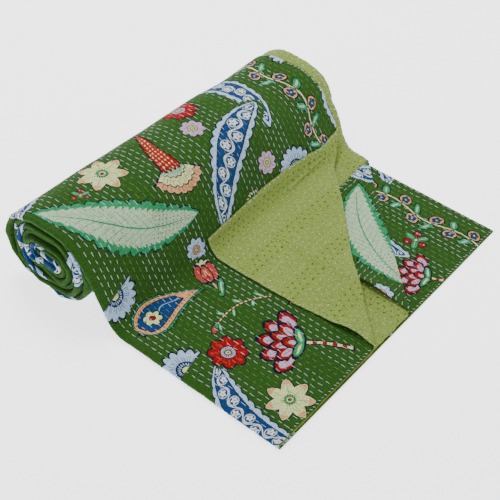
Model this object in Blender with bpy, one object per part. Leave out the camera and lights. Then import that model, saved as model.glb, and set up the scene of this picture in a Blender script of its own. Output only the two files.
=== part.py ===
"""Kantha quilt, folded into a four-ply strip and rolled up, with its loose end laid flat.

The quilt is a printed face cloth and a plain backing cloth, sewn together in close straight rows.
Its cut width is folded twice, so that a strip of four plies is a quarter as wide. The strip is rolled
under from its far end and lies on the surface. Its near end lies flat, print up, and two corners of
it, on the side with the open hems, are folded back at 45 degrees: the top ply's corner shows the
backing, and the next ply's corner shows the print again.

Frame: metres, +Z up, X along the roll, the loose end towards -Y, and the origin on the surface under
the centre of the whole thing. The strip has its own coordinates, in which everything is worked out:

    s  the way across the open quilt, from the hem of the top ply to the hem of the second ply
    v  the way along the quilt, from the hem at the loose end
    o  the way through the ply, from its middle to the print (+) or to the backing (-)
"""

import math

import bmesh
import bpy
import numpy as np
from mathutils import Vector

# ---- The quilt as it was cut and sewn -------------------------------------------------------------
INCH = 0.0254
CUT_WIDTH = 108 * INCH          # the side that is folded into four; the other side is as long
STRIP = CUT_WIDTH / 4           # width of the folded strip, along X
HALF = STRIP / 2
CLEAR = 0.0003                  # gap between two pieces, or two plies
CLOTH = 0.00115                 # one cloth, with its half of the filling
PLY = 2 * CLOTH + CLEAR         # face cloth and backing cloth together
STACK = 4 * PLY + 3 * CLEAR     # the four plies
LAYER = PLY + CLEAR             # how much higher each further ply lies

# ---- Stitched rows, which run the whole length of the strip ---------------------------------------
ROWS = 59                       # across the strip
ROW = STRIP / ROWS
ROW_DEPTH = 0.0006              # how far the cloth is drawn in along a row

# ---- The folds across the strip -------------------------------------------------------------------
TOP_HEM_BACK = 0.014            # the top ply's long hem stops this far short of the strip's edge
SECOND_HEM_BACK = 0.003         # and the second ply's hem this far
OUTER_BEND = 1.5 * LAYER        # middle radius of the fold round the two inner plies
INNER_BEND = 0.5 * LAYER        # middle radius of a fold of two plies that touch

# ---- The corners folded back, each a right-angled triangle with two equal legs --------------------
TOP_CORNER = 0.405              # leg of the top ply's corner
SECOND_CORNER = 0.303           # leg of the second ply's corner
CORNER_BEND = 0.5 * LAYER + 0.0004   # middle radius of the fold
RAMP = 0.020                    # the top ply climbs over the second corner's hems in this distance
RAMP_CLEAR = 0.002              # and is fully up this far before them

# ---- The way the strip lies, seen from its side ---------------------------------------------------
FLAT_LENGTH = 0.336             # loose end on the surface
FOOT_RADIUS = 0.055             # bend where the strip leaves the surface and climbs the roll
ROLL_Y = 0.524                  # middle of the roll, from the end hem
CORE_HALF = 0.0215              # half the flat core, round which the turns lie
TURN_RADIUS = 0.0755            # inner side of the outer turn, round either end of the core
PITCH = 0.0122                  # from one turn to the next
TURNS = 6.1
EASE = 0.2                      # radians in which the winding starts to close in
ARC_STEPS = 8                   # in each half turn

# ---- Unevenness ------------------------------------------------------------------------------------
EDGE_BOW = 0.006                # the folded edge of the loose end bows in by this much
ROLL_WIDER = 0.016              # the strip spreads by this much towards the open side of the roll
WIDER_FROM, WIDER_OVER = 0.30, 0.15   # ways along the strip in which it does so
SECOND_OUT = 0.010              # and the second ply's hem slips out by this much more
SECOND_OUT_OVER = 0.10          # in so wide a band
TAPER = 0.045                   # share by which the roll is lower at its open side
DRIFT = 0.005                   # the turns' edges stand in and out at the ends of the roll
DRIFT_WAVES = ((0.6, 7.3, 0.4), (0.4, 17.0, 0.0))   # share, radians for each metre, start
LOFT = 0.0022                   # the plies of the loose end part by this much in places
LOFT_WAVE = 9.0                 # radians for each metre across
LOFT_EDGE = 0.05                # and not at all at the sides
HEM_LIFT = 0.007                # the top corner's short hem stands up by this much
LIFT_FROM, LIFT_TOP, LIFT_TO = 0.0, 0.06, 0.13   # along that hem
HEM_BULGE = 0.009               # and bulges outwards by this much
BULGE_FROM_FOLD, BULGE_INWARD = 0.20, 0.16       # as far as it reaches from the fold and from the hem
STEP_BACK = 0.0012              # each ply's end hem lies this far behind the one below
STEP_BACK_OVER = 0.10

# ---- Spacing of the meshes' points -----------------------------------------------------------------
SLIVER = 0.00002                # edges shorter than this are closed up
CLOSEST = 0.0022                # between a coarse column and a fine one
BACKING_SHOWS = TOP_CORNER + 0.012   # the backing's rows are raised this far along
ROWS_FADE = 0.02                # and fade out in this distance where a ply goes out of sight
ROLL_ROWS_TURN = math.radians(125)   # the roll's rows are raised from its front round to here

# ---- Colours ---------------------------------------------------------------------------------------
PRINT_GREEN = (0.045, 0.112, 0.025, 1.0)
BACKING_GREEN = (0.279, 0.347, 0.109, 1.0)


def material(name, colour):
    """A matt cotton in one colour."""
    finish = bpy.data.materials.new(name)
    finish.use_nodes = True
    shader = finish.node_tree.nodes["Principled BSDF"]
    shader.inputs["Base Color"].default_value = colour
    shader.inputs["Roughness"].default_value = 0.9
    shader.inputs["Metallic"].default_value = 0.0
    return finish


def smooth_step(x):
    """0 below 0, 1 above 1 and a soft S between."""
    x = np.clip(x, 0.0, 1.0)
    return x * x * (3.0 - 2.0 * x)


# ---- The strip seen from its side ------------------------------------------------------------------
class Lie:
    """The line of the strip's underside in the Y-Z plane: flat, up the front of the roll, round it.

    The turns lie round a flat core, so each is two half circles joined by two flat runs. Their radius
    shrinks by PITCH in each turn.
    """

    def __init__(self):
        self.slope = self.climb_angle()
        bend = np.linspace(0.0, self.slope, 4)
        foot = np.stack([FLAT_LENGTH + FOOT_RADIUS * np.sin(bend),
                         FOOT_RADIUS * (1.0 - np.cos(bend))], axis=1)
        wound, facing, self.turned = self.winding()
        self.line = np.concatenate([[[0.0, 0.0]], foot, wound])
        self.along = np.concatenate([[0.0], np.cumsum(np.hypot(*np.diff(self.line, axis=0).T))])
        self.first_turn = len(self.line) - len(wound)
        self.roll_start = self.along[self.first_turn]
        self.facing = np.concatenate([[math.pi / 2], math.pi / 2 + bend, facing])

    @staticmethod
    def radius(turned):
        """Radius of the turns' half circles after so many radians."""
        return TURN_RADIUS - PITCH * turned ** 2 / (turned + EASE) / (2 * math.pi)

    @staticmethod
    def centre_height(slope):
        """Height of the core, so that the outer turn's flat run lies on the surface."""
        return Lie.radius(slope + math.pi) + STACK

    @staticmethod
    def climb_angle():
        """Slope of the straight run that leaves the foot's bend and just touches the roll."""

        def miss(angle):
            height = Lie.centre_height(angle)
            y = FLAT_LENGTH + FOOT_RADIUS * math.sin(angle)
            z = FOOT_RADIUS * (1.0 - math.cos(angle))
            away = (ROLL_Y - CORE_HALF - y) * math.sin(angle) - (height - z) * math.cos(angle)
            return away - TURN_RADIUS

        low, high = math.radians(20), math.radians(89)
        for _ in range(50):
            middle = (low + high) / 2
            if miss(middle) > 0.0:
                high = middle
            else:
                low = middle
        return (low + high) / 2

    def winding(self):
        """Points of the turns, from where the climbing run touches them.

        Gives also the direction each one's print faces, and how far each has turned. The last flat run
        fills the core.
        """
        arc = math.pi / ARC_STEPS
        first = np.concatenate([[0.0], self.slope - arc * np.arange(int(self.slope / arc), -1, -1)])
        halves = int(round((TURNS * 2 * math.pi - self.slope) / math.pi))
        turned = [first]
        side = [np.full(len(first), -1.0)]
        for half in range(halves):
            start = self.slope + half * math.pi
            turned.append(np.linspace(start, start + math.pi, ARC_STEPS + 1))
            side.append(np.full(ARC_STEPS + 1, 1.0 if half % 2 == 0 else -1.0))
        turned.append(turned[-1][-1:])
        side.append(-side[-1][-1:])
        turned = np.concatenate(turned)
        side = np.concatenate(side)
        angle = math.pi / 2 + self.slope - turned
        radius = self.radius(turned)
        y = ROLL_Y + side * CORE_HALF + radius * np.cos(angle)
        z = self.centre_height(self.slope) + radius * np.sin(angle)
        return np.stack([y, z], axis=1), angle, turned

    def place(self, v, h):
        """Y and Z of points so far along the strip and so far above its underside."""
        facing = np.interp(v, self.along, self.facing)
        y = np.interp(v, self.along, self.line[:, 0]) + h * np.cos(facing)
        z = np.interp(v, self.along, self.line[:, 1]) + h * np.sin(facing)
        return y, z


LIE = Lie()
SPLIT = LIE.roll_start


# ---- The strip seen from its end -------------------------------------------------------------------
FOLD_X = -HALF + OUTER_BEND + PLY / 2           # middle of the folds on the closed side
TURN_X = HALF - INNER_BEND - PLY / 2            # middle of the fold on the open side
TOP_RUN = HALF - TOP_HEM_BACK - FOLD_X
MIDDLE_RUN = TURN_X - FOLD_X
SECOND_RUN = HALF - SECOND_HEM_BACK - FOLD_X
RUNS = (                                        # name, length, bend radius, turn
    ("top", TOP_RUN, None),
    ("outer fold", math.pi * OUTER_BEND, OUTER_BEND),
    ("bottom", MIDDLE_RUN, None),
    ("open side fold", math.pi * INNER_BEND, INNER_BEND),
    ("third", MIDDLE_RUN, None),
    ("inner fold", math.pi * INNER_BEND, -INNER_BEND),
    ("second", SECOND_RUN, None),
)
STARTS = dict(zip((run[0] for run in RUNS), np.concatenate([[0.0], np.cumsum([run[1] for run in RUNS])])))
TOP_MIDDLE = 3 * LAYER + PLY / 2                # height of the top ply's middle


def across(s):
    """Place and direction in the strip's end view, for each way across the quilt."""
    u = np.empty_like(s)
    h = np.empty_like(s)
    du = np.empty_like(s)
    dh = np.empty_like(s)
    at = np.array([HALF - TOP_HEM_BACK, TOP_MIDDLE])
    heading = math.pi
    for name, length, bend in RUNS:
        here = (s >= STARTS[name] - 1e-9) & (s <= STARTS[name] + length + 1e-9)
        step = s[here] - STARTS[name]
        if bend is None:
            angle = np.full_like(step, heading)
            u[here] = at[0] + step * math.cos(heading)
            h[here] = at[1] + step * math.sin(heading)
            at = at + length * np.array([math.cos(heading), math.sin(heading)])
        else:
            angle = heading + step / bend
            u[here] = at[0] + bend * (np.sin(angle) - math.sin(heading))
            h[here] = at[1] - bend * (np.cos(angle) - math.cos(heading))
            turned = heading + length / bend
            at = at + bend * np.array([math.sin(turned) - math.sin(heading),
                                       math.cos(heading) - math.cos(turned)])
            heading = turned
        du[here] = np.cos(angle)
        dh[here] = np.sin(angle)
    return u, h, du, dh


CORNER_FOOT = HALF - TOP_HEM_BACK - TOP_CORNER
RAMP_U = (HALF - SECOND_HEM_BACK - SECOND_CORNER - RAMP_CLEAR - RAMP,
          HALF - SECOND_HEM_BACK - SECOND_CORNER - RAMP_CLEAR)
RAMP_V = (SECOND_CORNER + RAMP_CLEAR, SECOND_CORNER + RAMP_CLEAR + RAMP)
TURN_TAKES = math.pi * CORNER_BEND / math.sqrt(2.0)   # what a corner's bend takes up along either hem
CROSSING = tuple(x - CORNER_FOOT - TURN_TAKES for x in RAMP_U)


def folded(ways):
    """Columns of the top ply that lie at these ways along the strip once its corner is back."""
    return [CORNER_FOOT + TURN_TAKES + way for way in ways]


def fold_corner(u, v, h, leg, hem, up):
    """Fold the corner at (hem, 0) back over its own ply; up is +1 where the print is on top.

    The fold line joins (hem, leg) to (hem - leg, 0). Points beyond it go round the bend and come back
    over the ply, one LAYER higher.
    """
    beyond = ((u - (hem - leg)) - v) / math.sqrt(2.0)
    round_bend = math.pi * CORNER_BEND
    angle = np.clip(beyond / CORNER_BEND, 0.0, math.pi)
    past = np.maximum(beyond - round_bend, 0.0)
    out = np.where(beyond > 0.0, CORNER_BEND * np.sin(angle) - past, beyond)
    middle, through = h
    climb = CORNER_BEND * (1.0 - np.cos(angle)) + through * up * np.cos(angle)
    out = out - through * up * np.sin(angle)
    shift = (out - beyond) / math.sqrt(2.0)
    return u + shift, v - shift, middle + climb, beyond > 0.0


def over_second_corner(u, v):
    """1 where the top ply lies over the second ply's folded corner, 0 away from it."""
    over_u = np.clip((u - RAMP_U[0]) / RAMP, 0.0, 1.0)
    over_v = np.clip((RAMP_V[1] - v) / RAMP, 0.0, 1.0)
    return over_u * over_v


def loft(u, v):
    """How far the plies of the loose end part, from 0 at the hems and the roll to 1."""
    along = np.sin(np.clip(v / FLAT_LENGTH, 0.0, 1.0) * math.pi)
    inside = np.clip((HALF - np.abs(u)) / LOFT_EDGE, 0.0, 1.0)
    return along * (0.55 + 0.45 * np.sin(LOFT_WAVE * u + 1.0)) * inside


def on_roll(v):
    """0 on the loose end and 1 on the roll."""
    return smooth_step((v - WIDER_FROM) / WIDER_OVER)


def drift(v):
    """How far the strip stands to one side, turn by turn."""
    return on_roll(v) * DRIFT * sum(share * np.sin(wave * v + start) for share, wave, start in DRIFT_WAVES)


def strip_to_world(u, v, h):
    """Points of the flat strip, on the line that the strip takes."""
    share = u / STRIP + 0.5
    bow = EDGE_BOW * np.sin(np.clip(v / FLAT_LENGTH, 0.0, 1.0) * math.pi) * (1.0 - share)
    y, z = LIE.place(v, h)
    x = u + bow + ROLL_WIDER * on_roll(v) * share + drift(v)
    return np.stack([x, y, z * (1.0 - TAPER * share)], axis=1)


def bulged(u, v):
    """How far the folded top corner bulges out past its short hem, and how far it stands up there."""
    along = np.clip(v / TOP_CORNER, 0.0, 1.0)
    inward = u - CORNER_FOOT
    from_fold = np.clip((v - inward) / BULGE_FROM_FOLD, 0.0, 1.0)
    out = HEM_BULGE * np.sin(math.pi * along) * from_fold * np.clip(1.0 - inward / BULGE_INWARD, 0.0, 1.0)
    rise = np.interp(v, (LIFT_FROM, LIFT_TOP, LIFT_TO), (0.0, HEM_LIFT, 0.0))
    return out, rise * np.clip(1.0 - inward / (RAMP_U[0] - CORNER_FOOT), 0.0, 1.0)


def quilt_to_world(s, v, o):
    """Points of the open quilt, folded into the strip, its corners back, and laid on its line."""
    u, h, du, dh = across(s)
    top = s < STARTS["outer fold"]
    second = s > STARTS["second"]
    part = np.interp(h, [PLY / 2, TOP_MIDDLE], [0.0, 1.0])
    v = v + STEP_BACK * 3 * part * np.clip(1.0 - v / STEP_BACK_OVER, 0.0, 1.0)
    top_place = fold_corner(u, v, (h, o), TOP_CORNER, HALF - TOP_HEM_BACK, 1.0)
    second_place = fold_corner(u, v, (h, o), SECOND_CORNER, HALF - SECOND_HEM_BACK, -1.0)
    turned_back = top & top_place[3]
    out_u = np.where(top, top_place[0], np.where(second, second_place[0], u + o * dh))
    out_v = np.where(top, top_place[1], np.where(second, second_place[1], v))
    out_h = np.where(top, top_place[2], np.where(second, second_place[2], h - o * du))
    out_h = out_h + np.where(top, 2 * CORNER_BEND * over_second_corner(out_u, out_v), 0.0)
    out_h = out_h + LOFT * part * loft(out_u, out_v)
    slip = SECOND_OUT * on_roll(out_v) * smooth_step((out_u - HALF) / SECOND_OUT_OVER + 1.0)
    bulge, rise = bulged(out_u, out_v)
    out_u = out_u + np.where(second, slip, 0.0) - np.where(turned_back, bulge, 0.0)
    out_h = out_h + np.where(turned_back, rise, 0.0)
    return strip_to_world(out_u, out_v, out_h)


# ---- Meshes ----------------------------------------------------------------------------------------
def merged(lines, fine):
    """The lines, with each of the fine ones that stands clear of them and of the ramps."""
    ramps = (RAMP_U, folded(RAMP_V))
    kept = [x for x in fine if min(abs(x - line) for line in lines) > CLOSEST
            and not any(low < x < high for low, high in ramps)]
    return np.array(sorted(list(lines) + kept))


def stitched(u):
    """How far the cloth is drawn in by its rows at each place across the strip."""
    return ROW_DEPTH * 0.5 * (1.0 - np.cos(2 * math.pi * (u + HALF) / ROW))


def ply_columns(run, lines, fine_from=None):
    """Ways across the quilt of a straight run's columns, and which of them only the outside has."""
    length = dict((r[0], r[1]) for r in RUNS)[run]
    start = STARTS[run]
    ends = across(np.array([start + 1e-6, start + length - 1e-6]))[0]
    heads_up = ends[1] > ends[0]
    low, high = min(ends), max(ends)
    lines = [low, high] + [x for x in lines if low + 2 * CLOSEST < x < high - 2 * CLOSEST]
    if fine_from is None:
        chosen = np.array(sorted(lines))
    else:
        half_rows = -HALF + np.arange(2 * ROWS + 1) * ROW / 2
        chosen = merged(lines, [x for x in half_rows if max(low, fine_from) < x < high])
    coarse = [min(abs(x - line) for line in lines) < 1e-7 for x in chosen]
    s = start + (chosen - low if heads_up else high - chosen)
    order = np.argsort(s)
    return s[order], np.array(coarse)[order]


def fold_columns(run, steps):
    """Ways across the quilt inside a fold, without its two ends."""
    length = dict((r[0], r[1]) for r in RUNS)[run]
    s = STARTS[run] + length * np.arange(1, steps) / steps
    return s, np.full(steps - 1, True)


FEW_LINES = [-0.24, 0.0, 0.2]                    # columns where nothing bends
PLY_LINES = [-0.24, -0.15, CORNER_FOOT, *RAMP_U, 0.13, *folded(RAMP_V)]
FOOT_ROWS = [x for x in LIE.along if FLAT_LENGTH - 1e-9 < x < SPLIT - 1e-9]
TOP_LINES = PLY_LINES + folded([0.03, LIFT_TOP, LIFT_TO, *FOOT_ROWS])


def along_lines():
    """Ways along the strip at which its loose end has a row of points."""
    return np.array(sorted([0.0, 0.045, *CROSSING, *RAMP_V, *FOOT_ROWS, BACKING_SHOWS, SPLIT - CLEAR]))


def section_columns(side):
    """Columns of one cloth, right across the quilt: side is +1 for the face, -1 for the backing.

    Gives each column's way across, whether the cloth's inside has it too, and how far along the strip
    it runs.
    """
    face = side > 0
    whole, short = SPLIT, RAMP_V[0]     # a hidden column runs on only where the inside has it too
    runs = [
        (ply_columns("top", TOP_LINES, -HALF if face else CORNER_FOOT), whole if face else BACKING_SHOWS),
        (fold_columns("outer fold", 6), whole),
        (ply_columns("bottom", FEW_LINES), whole),
        (fold_columns("open side fold", 4), whole),
        (ply_columns("third", FEW_LINES, RAMP_U[0] if face else None), short),
        (fold_columns("inner fold", 4), whole),
        (ply_columns("second", PLY_LINES, RAMP_U[0] if face else None), short),
    ]
    s = np.concatenate([run[0][0] for run in runs])
    coarse = np.concatenate([run[0][1] for run in runs])
    reach = np.concatenate([np.where(run[0][1], whole, run[1]) for run in runs])
    return s, coarse, reach


def relief(s, side):
    """How far each column's outside is drawn in by the rows; nothing where the ply is hidden."""
    u = across(s)[0]
    top = s < STARTS["outer fold"] - 1e-9
    third = (s > STARTS["third"] + 1e-9) & (s < STARTS["inner fold"] - 1e-9)
    second = s > STARTS["second"] + 1e-9
    if side > 0:
        shows = top | ((third | second) & (u > RAMP_U[0]))
    else:
        shows = top & (u > CORNER_FOOT)
    return np.where(shows, stitched(u), 0.0)


def join(mesh, near, far):
    """Fill between two rows of points, of which one may have many points and the other only two."""
    if len(near) == len(far):
        for i in range(len(near) - 1):
            mesh.faces.new((near[i], near[i + 1], far[i]))
            mesh.faces.new((near[i + 1], far[i + 1], far[i]))
        return
    if len(near) < len(far):
        near, far = far, near
    half = len(near) // 2
    for i in range(len(near) - 1):
        mesh.faces.new((near[i], near[i + 1], far[0] if i < half else far[1]))
    mesh.faces.new((near[half], far[1], far[0]))


def loose_cloth(side):
    """One cloth of the loose end, from hem to hem, as a closed sheet in (s, v, o).

    Its outside has a column on each row and between rows; its inside has only the coarse ones.
    """
    s, coarse, reach = section_columns(side)
    v = along_lines()
    sunk = relief(s, side)
    kept = np.flatnonzero(coarse)
    mesh = bmesh.new()
    outside = []
    inside = []
    for y in v:
        fade = np.where(reach >= SPLIT, 1.0, np.clip((reach - y) / ROWS_FADE, 0.0, 1.0))
        out = side * (PLY / 2 - sunk * fade)
        outside.append({i: mesh.verts.new((s[i], y, out[i])) for i in range(len(s)) if y <= reach[i] + 1e-9})
        inside.append({i: mesh.verts.new((s[i], y, side * CLEAR / 2)) for i in kept})
    last = len(v) - 1
    for i in outside[0]:
        inside[0].setdefault(i, mesh.verts.new((s[i], v[0], side * CLEAR / 2)))
    for i in outside[last]:
        inside[last].setdefault(i, mesh.verts.new((s[i], v[last], side * CLEAR / 2)))

    def between(points, a, b):
        return [points[i] for i in range(a, b + 1) if i in points]

    for a, b in zip(kept[:-1], kept[1:]):
        for row in range(last):
            join(mesh, between(outside[row], a, b), between(outside[row + 1], a, b))
            join(mesh, between(inside[row], a, b), between(inside[row + 1], a, b))
        for row in (0, last):
            join(mesh, between(outside[row], a, b), between(inside[row], a, b))
    for i in (0, len(s) - 1):
        for row in range(last):
            mesh.faces.new((outside[row][i], outside[row + 1][i], inside[row + 1][i], inside[row][i]))
    for vertex in [p for p in mesh.verts if not p.link_faces]:
        mesh.verts.remove(vertex)
    return mesh


def crease(mesh, run, hem, leg):
    """Cut a run's faces along its corner's fold, in parallel strips, so that they can bend there."""
    length = dict((r[0], r[1]) for r in RUNS)[run]
    start = STARTS[run]
    ends = across(np.array([start + 1e-6, start + length - 1e-6]))[0]
    rising = ends[1] > ends[0]
    across_hem = start + (length if rising else 0.0)
    way = 1.0 if rising else -1.0
    bends = np.linspace(0.0, math.pi * CORNER_BEND, 3)
    for bend in bends:
        # u - v = hem - leg + bend * sqrt 2, with u = hem + way * (s - across_hem)
        normal = Vector((way, -1.0, 0.0)).normalized()
        foot = across_hem + way * (-leg + bend * math.sqrt(2.0))
        faces = [f for f in mesh.faces if all(start - 1e-6 < p.co.x < start + length + 1e-6 for p in f.verts)]
        edges = list({e for f in faces for e in f.edges})
        verts = list({p for f in faces for p in f.verts})
        bmesh.ops.bisect_plane(mesh, geom=verts + edges + faces, dist=1e-6,
                               plane_co=Vector((foot, 0.0, 0.0)), plane_no=normal)


def lay(mesh, name, finish):
    """Triangulate the cloth, put it in its place and make it an object."""
    bmesh.ops.triangulate(mesh, faces=mesh.faces, ngon_method="EAR_CLIP")
    points = np.array([p.co for p in mesh.verts])
    world = quilt_to_world(*points.T)
    for vertex, place in zip(mesh.verts, world):
        vertex.co = place
    bmesh.ops.dissolve_degenerate(mesh, edges=mesh.edges, dist=SLIVER)
    return finished(mesh, name, finish)


def finished(mesh, name, finish):
    """Turn a closed bmesh into a named object with its material, faces outwards."""
    bmesh.ops.recalc_face_normals(mesh, faces=mesh.faces)
    data = bpy.data.meshes.new(name)
    mesh.to_mesh(data)
    mesh.free()
    data.materials.append(finish)
    thing = bpy.data.objects.new(name, data)
    bpy.context.collection.objects.link(thing)
    return thing


def band_section():
    """Outline of the wound strip, seen from its end: rounded at the fold, stepped at the hems."""
    round_off = np.linspace(-math.pi / 2, math.pi / 2, 5)
    left = [(-HALF + STACK / 2 - STACK / 2 * math.cos(a), STACK / 2 + STACK / 2 * math.sin(a))
            for a in round_off]
    second_hem = HALF - SECOND_HEM_BACK + SECOND_OUT
    steps = [(HALF - TOP_HEM_BACK, STACK), (HALF - TOP_HEM_BACK, STACK - PLY),
             (second_hem, STACK - PLY), (second_hem, STACK - 2 * PLY),
             (HALF - PLY / 2, 2 * PLY), (HALF, PLY), (HALF - PLY / 2, 0.0)]
    return left, steps


def wound_strip(finish):
    """The roll: one solid band, wound from the front of the roll to its core.

    The outer turn's rows are raised from the top of the front round to the surface behind.
    """
    left, steps = band_section()
    loop = left + steps
    top_left = len(left) - 1
    count = len(loop)
    half_rows = -HALF + np.arange(2 * ROWS + 1) * ROW / 2
    fine = [x for x in half_rows if loop[top_left][0] + 0.002 < x < loop[top_left + 1][0] - 0.002]
    rows_until = int(np.searchsorted(LIE.turned, LIE.slope + ROLL_ROWS_TURN))
    mesh = bmesh.new()

    def station(j, heights):
        """Points across the strip at the j-th station of the winding."""
        u, h = np.array(heights).T
        along = np.full(len(u), LIE.along[LIE.first_turn + j])
        return [mesh.verts.new(p) for p in strip_to_world(u, along, h)]

    rings = []
    ridges = []
    for j in range(len(LIE.turned)):
        fade = smooth_step(np.array((rows_until - j) / 2.0))
        rings.append(station(j, loop))
        raised = [(x, STACK - fade * stitched(np.array(x))) for x in fine]
        ridges.append(station(j, raised) if j <= rows_until else [])
    under = station(0, [(x, 0.0) for x in fine])
    for j in range(len(rings) - 1):
        here, there = rings[j], rings[j + 1]
        for i in range(count):
            k = (i + 1) % count
            first, second = [here[i], here[k]], [there[i], there[k]]
            if i == top_left:
                first[1:1] = ridges[j]
                second[1:1] = ridges[j + 1]
            elif i == count - 1 and j == 0:
                first[1:1] = under[::-1]
            join(mesh, first, second)
    start = rings[0]
    join(mesh, ridges[0], under)
    mesh.faces.new([*start[:top_left + 1], ridges[0][0], under[0]])
    mesh.faces.new([ridges[0][-1], *start[top_left + 1:], under[-1]])
    end = rings[-1]
    for corners in ((0, 1, 2, 3, 4), (0, 4, 5, 6), (0, 6, 9, 11), (6, 7, 8, 9), (9, 10, 11)):
        mesh.faces.new([end[i] for i in corners])
    bmesh.ops.triangulate(mesh, faces=mesh.faces, ngon_method="EAR_CLIP")
    return finished(mesh, "wound_roll", finish)


def set_down(things):
    """Move the meshes together, so that the origin is under the middle of their common box."""
    points = np.array([v.co for thing in things for v in thing.data.vertices])
    low, high = points.min(axis=0), points.max(axis=0)
    shift = Vector((-(low[0] + high[0]) / 2, -(low[1] + high[1]) / 2, -low[2]))
    for thing in things:
        for vertex in thing.data.vertices:
            vertex.co += shift


def main():
    for thing in list(bpy.data.objects):
        bpy.data.objects.remove(thing, do_unlink=True)
    printed = material("printed_cotton", PRINT_GREEN)
    plain = material("backing_cotton", BACKING_GREEN)

    face = loose_cloth(1)
    crease(face, "top", HALF - TOP_HEM_BACK, TOP_CORNER)
    crease(face, "second", HALF - SECOND_HEM_BACK, SECOND_CORNER)
    back = loose_cloth(-1)
    crease(back, "top", HALF - TOP_HEM_BACK, TOP_CORNER)
    crease(back, "second", HALF - SECOND_HEM_BACK, SECOND_CORNER)

    set_down([
        wound_strip(printed),
        lay(face, "loose_end_face", printed),
        lay(back, "loose_end_backing", plain),
    ])


main()
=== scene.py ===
"""Looks of a kantha quilt, folded into a four-ply strip and rolled up, with its loose end laid flat.

The quilt is two cloths, a printed face and a plain backing, sewn together in close rows of running
stitches. Each cloth is one sheet here, worked out on the open quilt and then folded, turned back at its
corners, rolled and laid down. A point of the open quilt has three coordinates, in metres:

    s  the way across, from the hem of the top ply to the hem of the second ply
    v  the way along, from the hem at the loose end
    o  the way through, from the middle of the ply to the print (+) or to the backing (-)

Folded across, the quilt is a strip, in which u is the way across from its middle (+ towards the open
hems) and h the height over its underside.
"""

import logging
import math
from abc import ABC, abstractmethod
from dataclasses import dataclass, field
from enum import Enum
from typing import Callable, Sequence

import bpy
import numpy as np
from mathutils import Matrix, Vector


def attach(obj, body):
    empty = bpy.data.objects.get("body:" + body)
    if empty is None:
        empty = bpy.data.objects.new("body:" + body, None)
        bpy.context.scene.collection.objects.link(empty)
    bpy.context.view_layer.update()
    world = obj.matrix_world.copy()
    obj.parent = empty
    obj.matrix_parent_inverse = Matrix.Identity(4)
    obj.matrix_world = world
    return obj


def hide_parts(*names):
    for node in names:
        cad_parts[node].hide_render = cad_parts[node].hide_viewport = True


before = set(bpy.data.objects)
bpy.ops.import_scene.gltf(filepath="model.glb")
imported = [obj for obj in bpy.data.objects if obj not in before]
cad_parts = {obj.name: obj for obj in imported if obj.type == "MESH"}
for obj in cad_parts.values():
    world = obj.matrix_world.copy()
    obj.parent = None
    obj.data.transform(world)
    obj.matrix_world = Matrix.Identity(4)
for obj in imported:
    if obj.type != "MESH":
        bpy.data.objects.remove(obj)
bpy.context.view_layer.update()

LOG = logging.getLogger("kantha_quilt")
ROOT = "root"
MM = 0.001

Colour = tuple[float, float, float, float]


# ---- Sizes shared by every piece -----------------------------------------------------------------
@dataclass(frozen=True)
class Cut:
    """The quilt as it was cut, sewn and folded across."""

    strip: float = 0.6858            # width of the folded strip: a quarter of 108 inches
    clear: float = 0.0003            # gap between two plies
    cloth: float = 0.00115           # one cloth, with its half of the filling
    rows: int = 59                   # stitched rows across the strip
    top_hem_back: float = 0.014      # the top ply's long hem stops this far short of the strip's edge
    second_hem_back: float = 0.003

    @property
    def half(self) -> float:
        """Half the strip's width."""
        return self.strip / 2

    @property
    def ply(self) -> float:
        """Thickness of the face cloth and the backing cloth together."""
        return 2 * self.cloth + self.clear

    @property
    def layer(self) -> float:
        """How much higher each further ply lies."""
        return self.ply + self.clear

    @property
    def stack(self) -> float:
        """Thickness of the four plies."""
        return 4 * self.ply + 3 * self.clear

    @property
    def row(self) -> float:
        """Distance from one stitched row to the next."""
        return self.strip / self.rows


CUT = Cut()


def smooth_step(x: np.ndarray) -> np.ndarray:
    """0 below 0, 1 above 1 and a soft S between: 3x^2 - 2x^3."""
    x = np.clip(x, 0.0, 1.0)
    return x * x * (3.0 - 2.0 * x)


def hump(x: np.ndarray, width: float) -> np.ndarray:
    """1 at 0 and fading to both sides: e^(-(x / width)^2)."""
    return np.exp(-(x / width) ** 2)


def ripple(x: np.ndarray, y: np.ndarray, waves: Sequence[tuple[float, float, float, float]]) -> np.ndarray:
    """An uneven surface between about -1 and 1, as a sum of plane waves.

    Args:
        x: first coordinate, in metres.
        y: second coordinate, in metres.
        waves: share, radians for each metre of x, radians for each metre of y, and start of each wave.

    Returns:
        The sum of share * sin(kx * x + ky * y + start), for each point.
    """
    total = np.zeros(np.broadcast(x, y).shape)
    for share, along_x, along_y, start in waves:
        total = total + share * np.sin(along_x * x + along_y * y + start)
    return total


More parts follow.
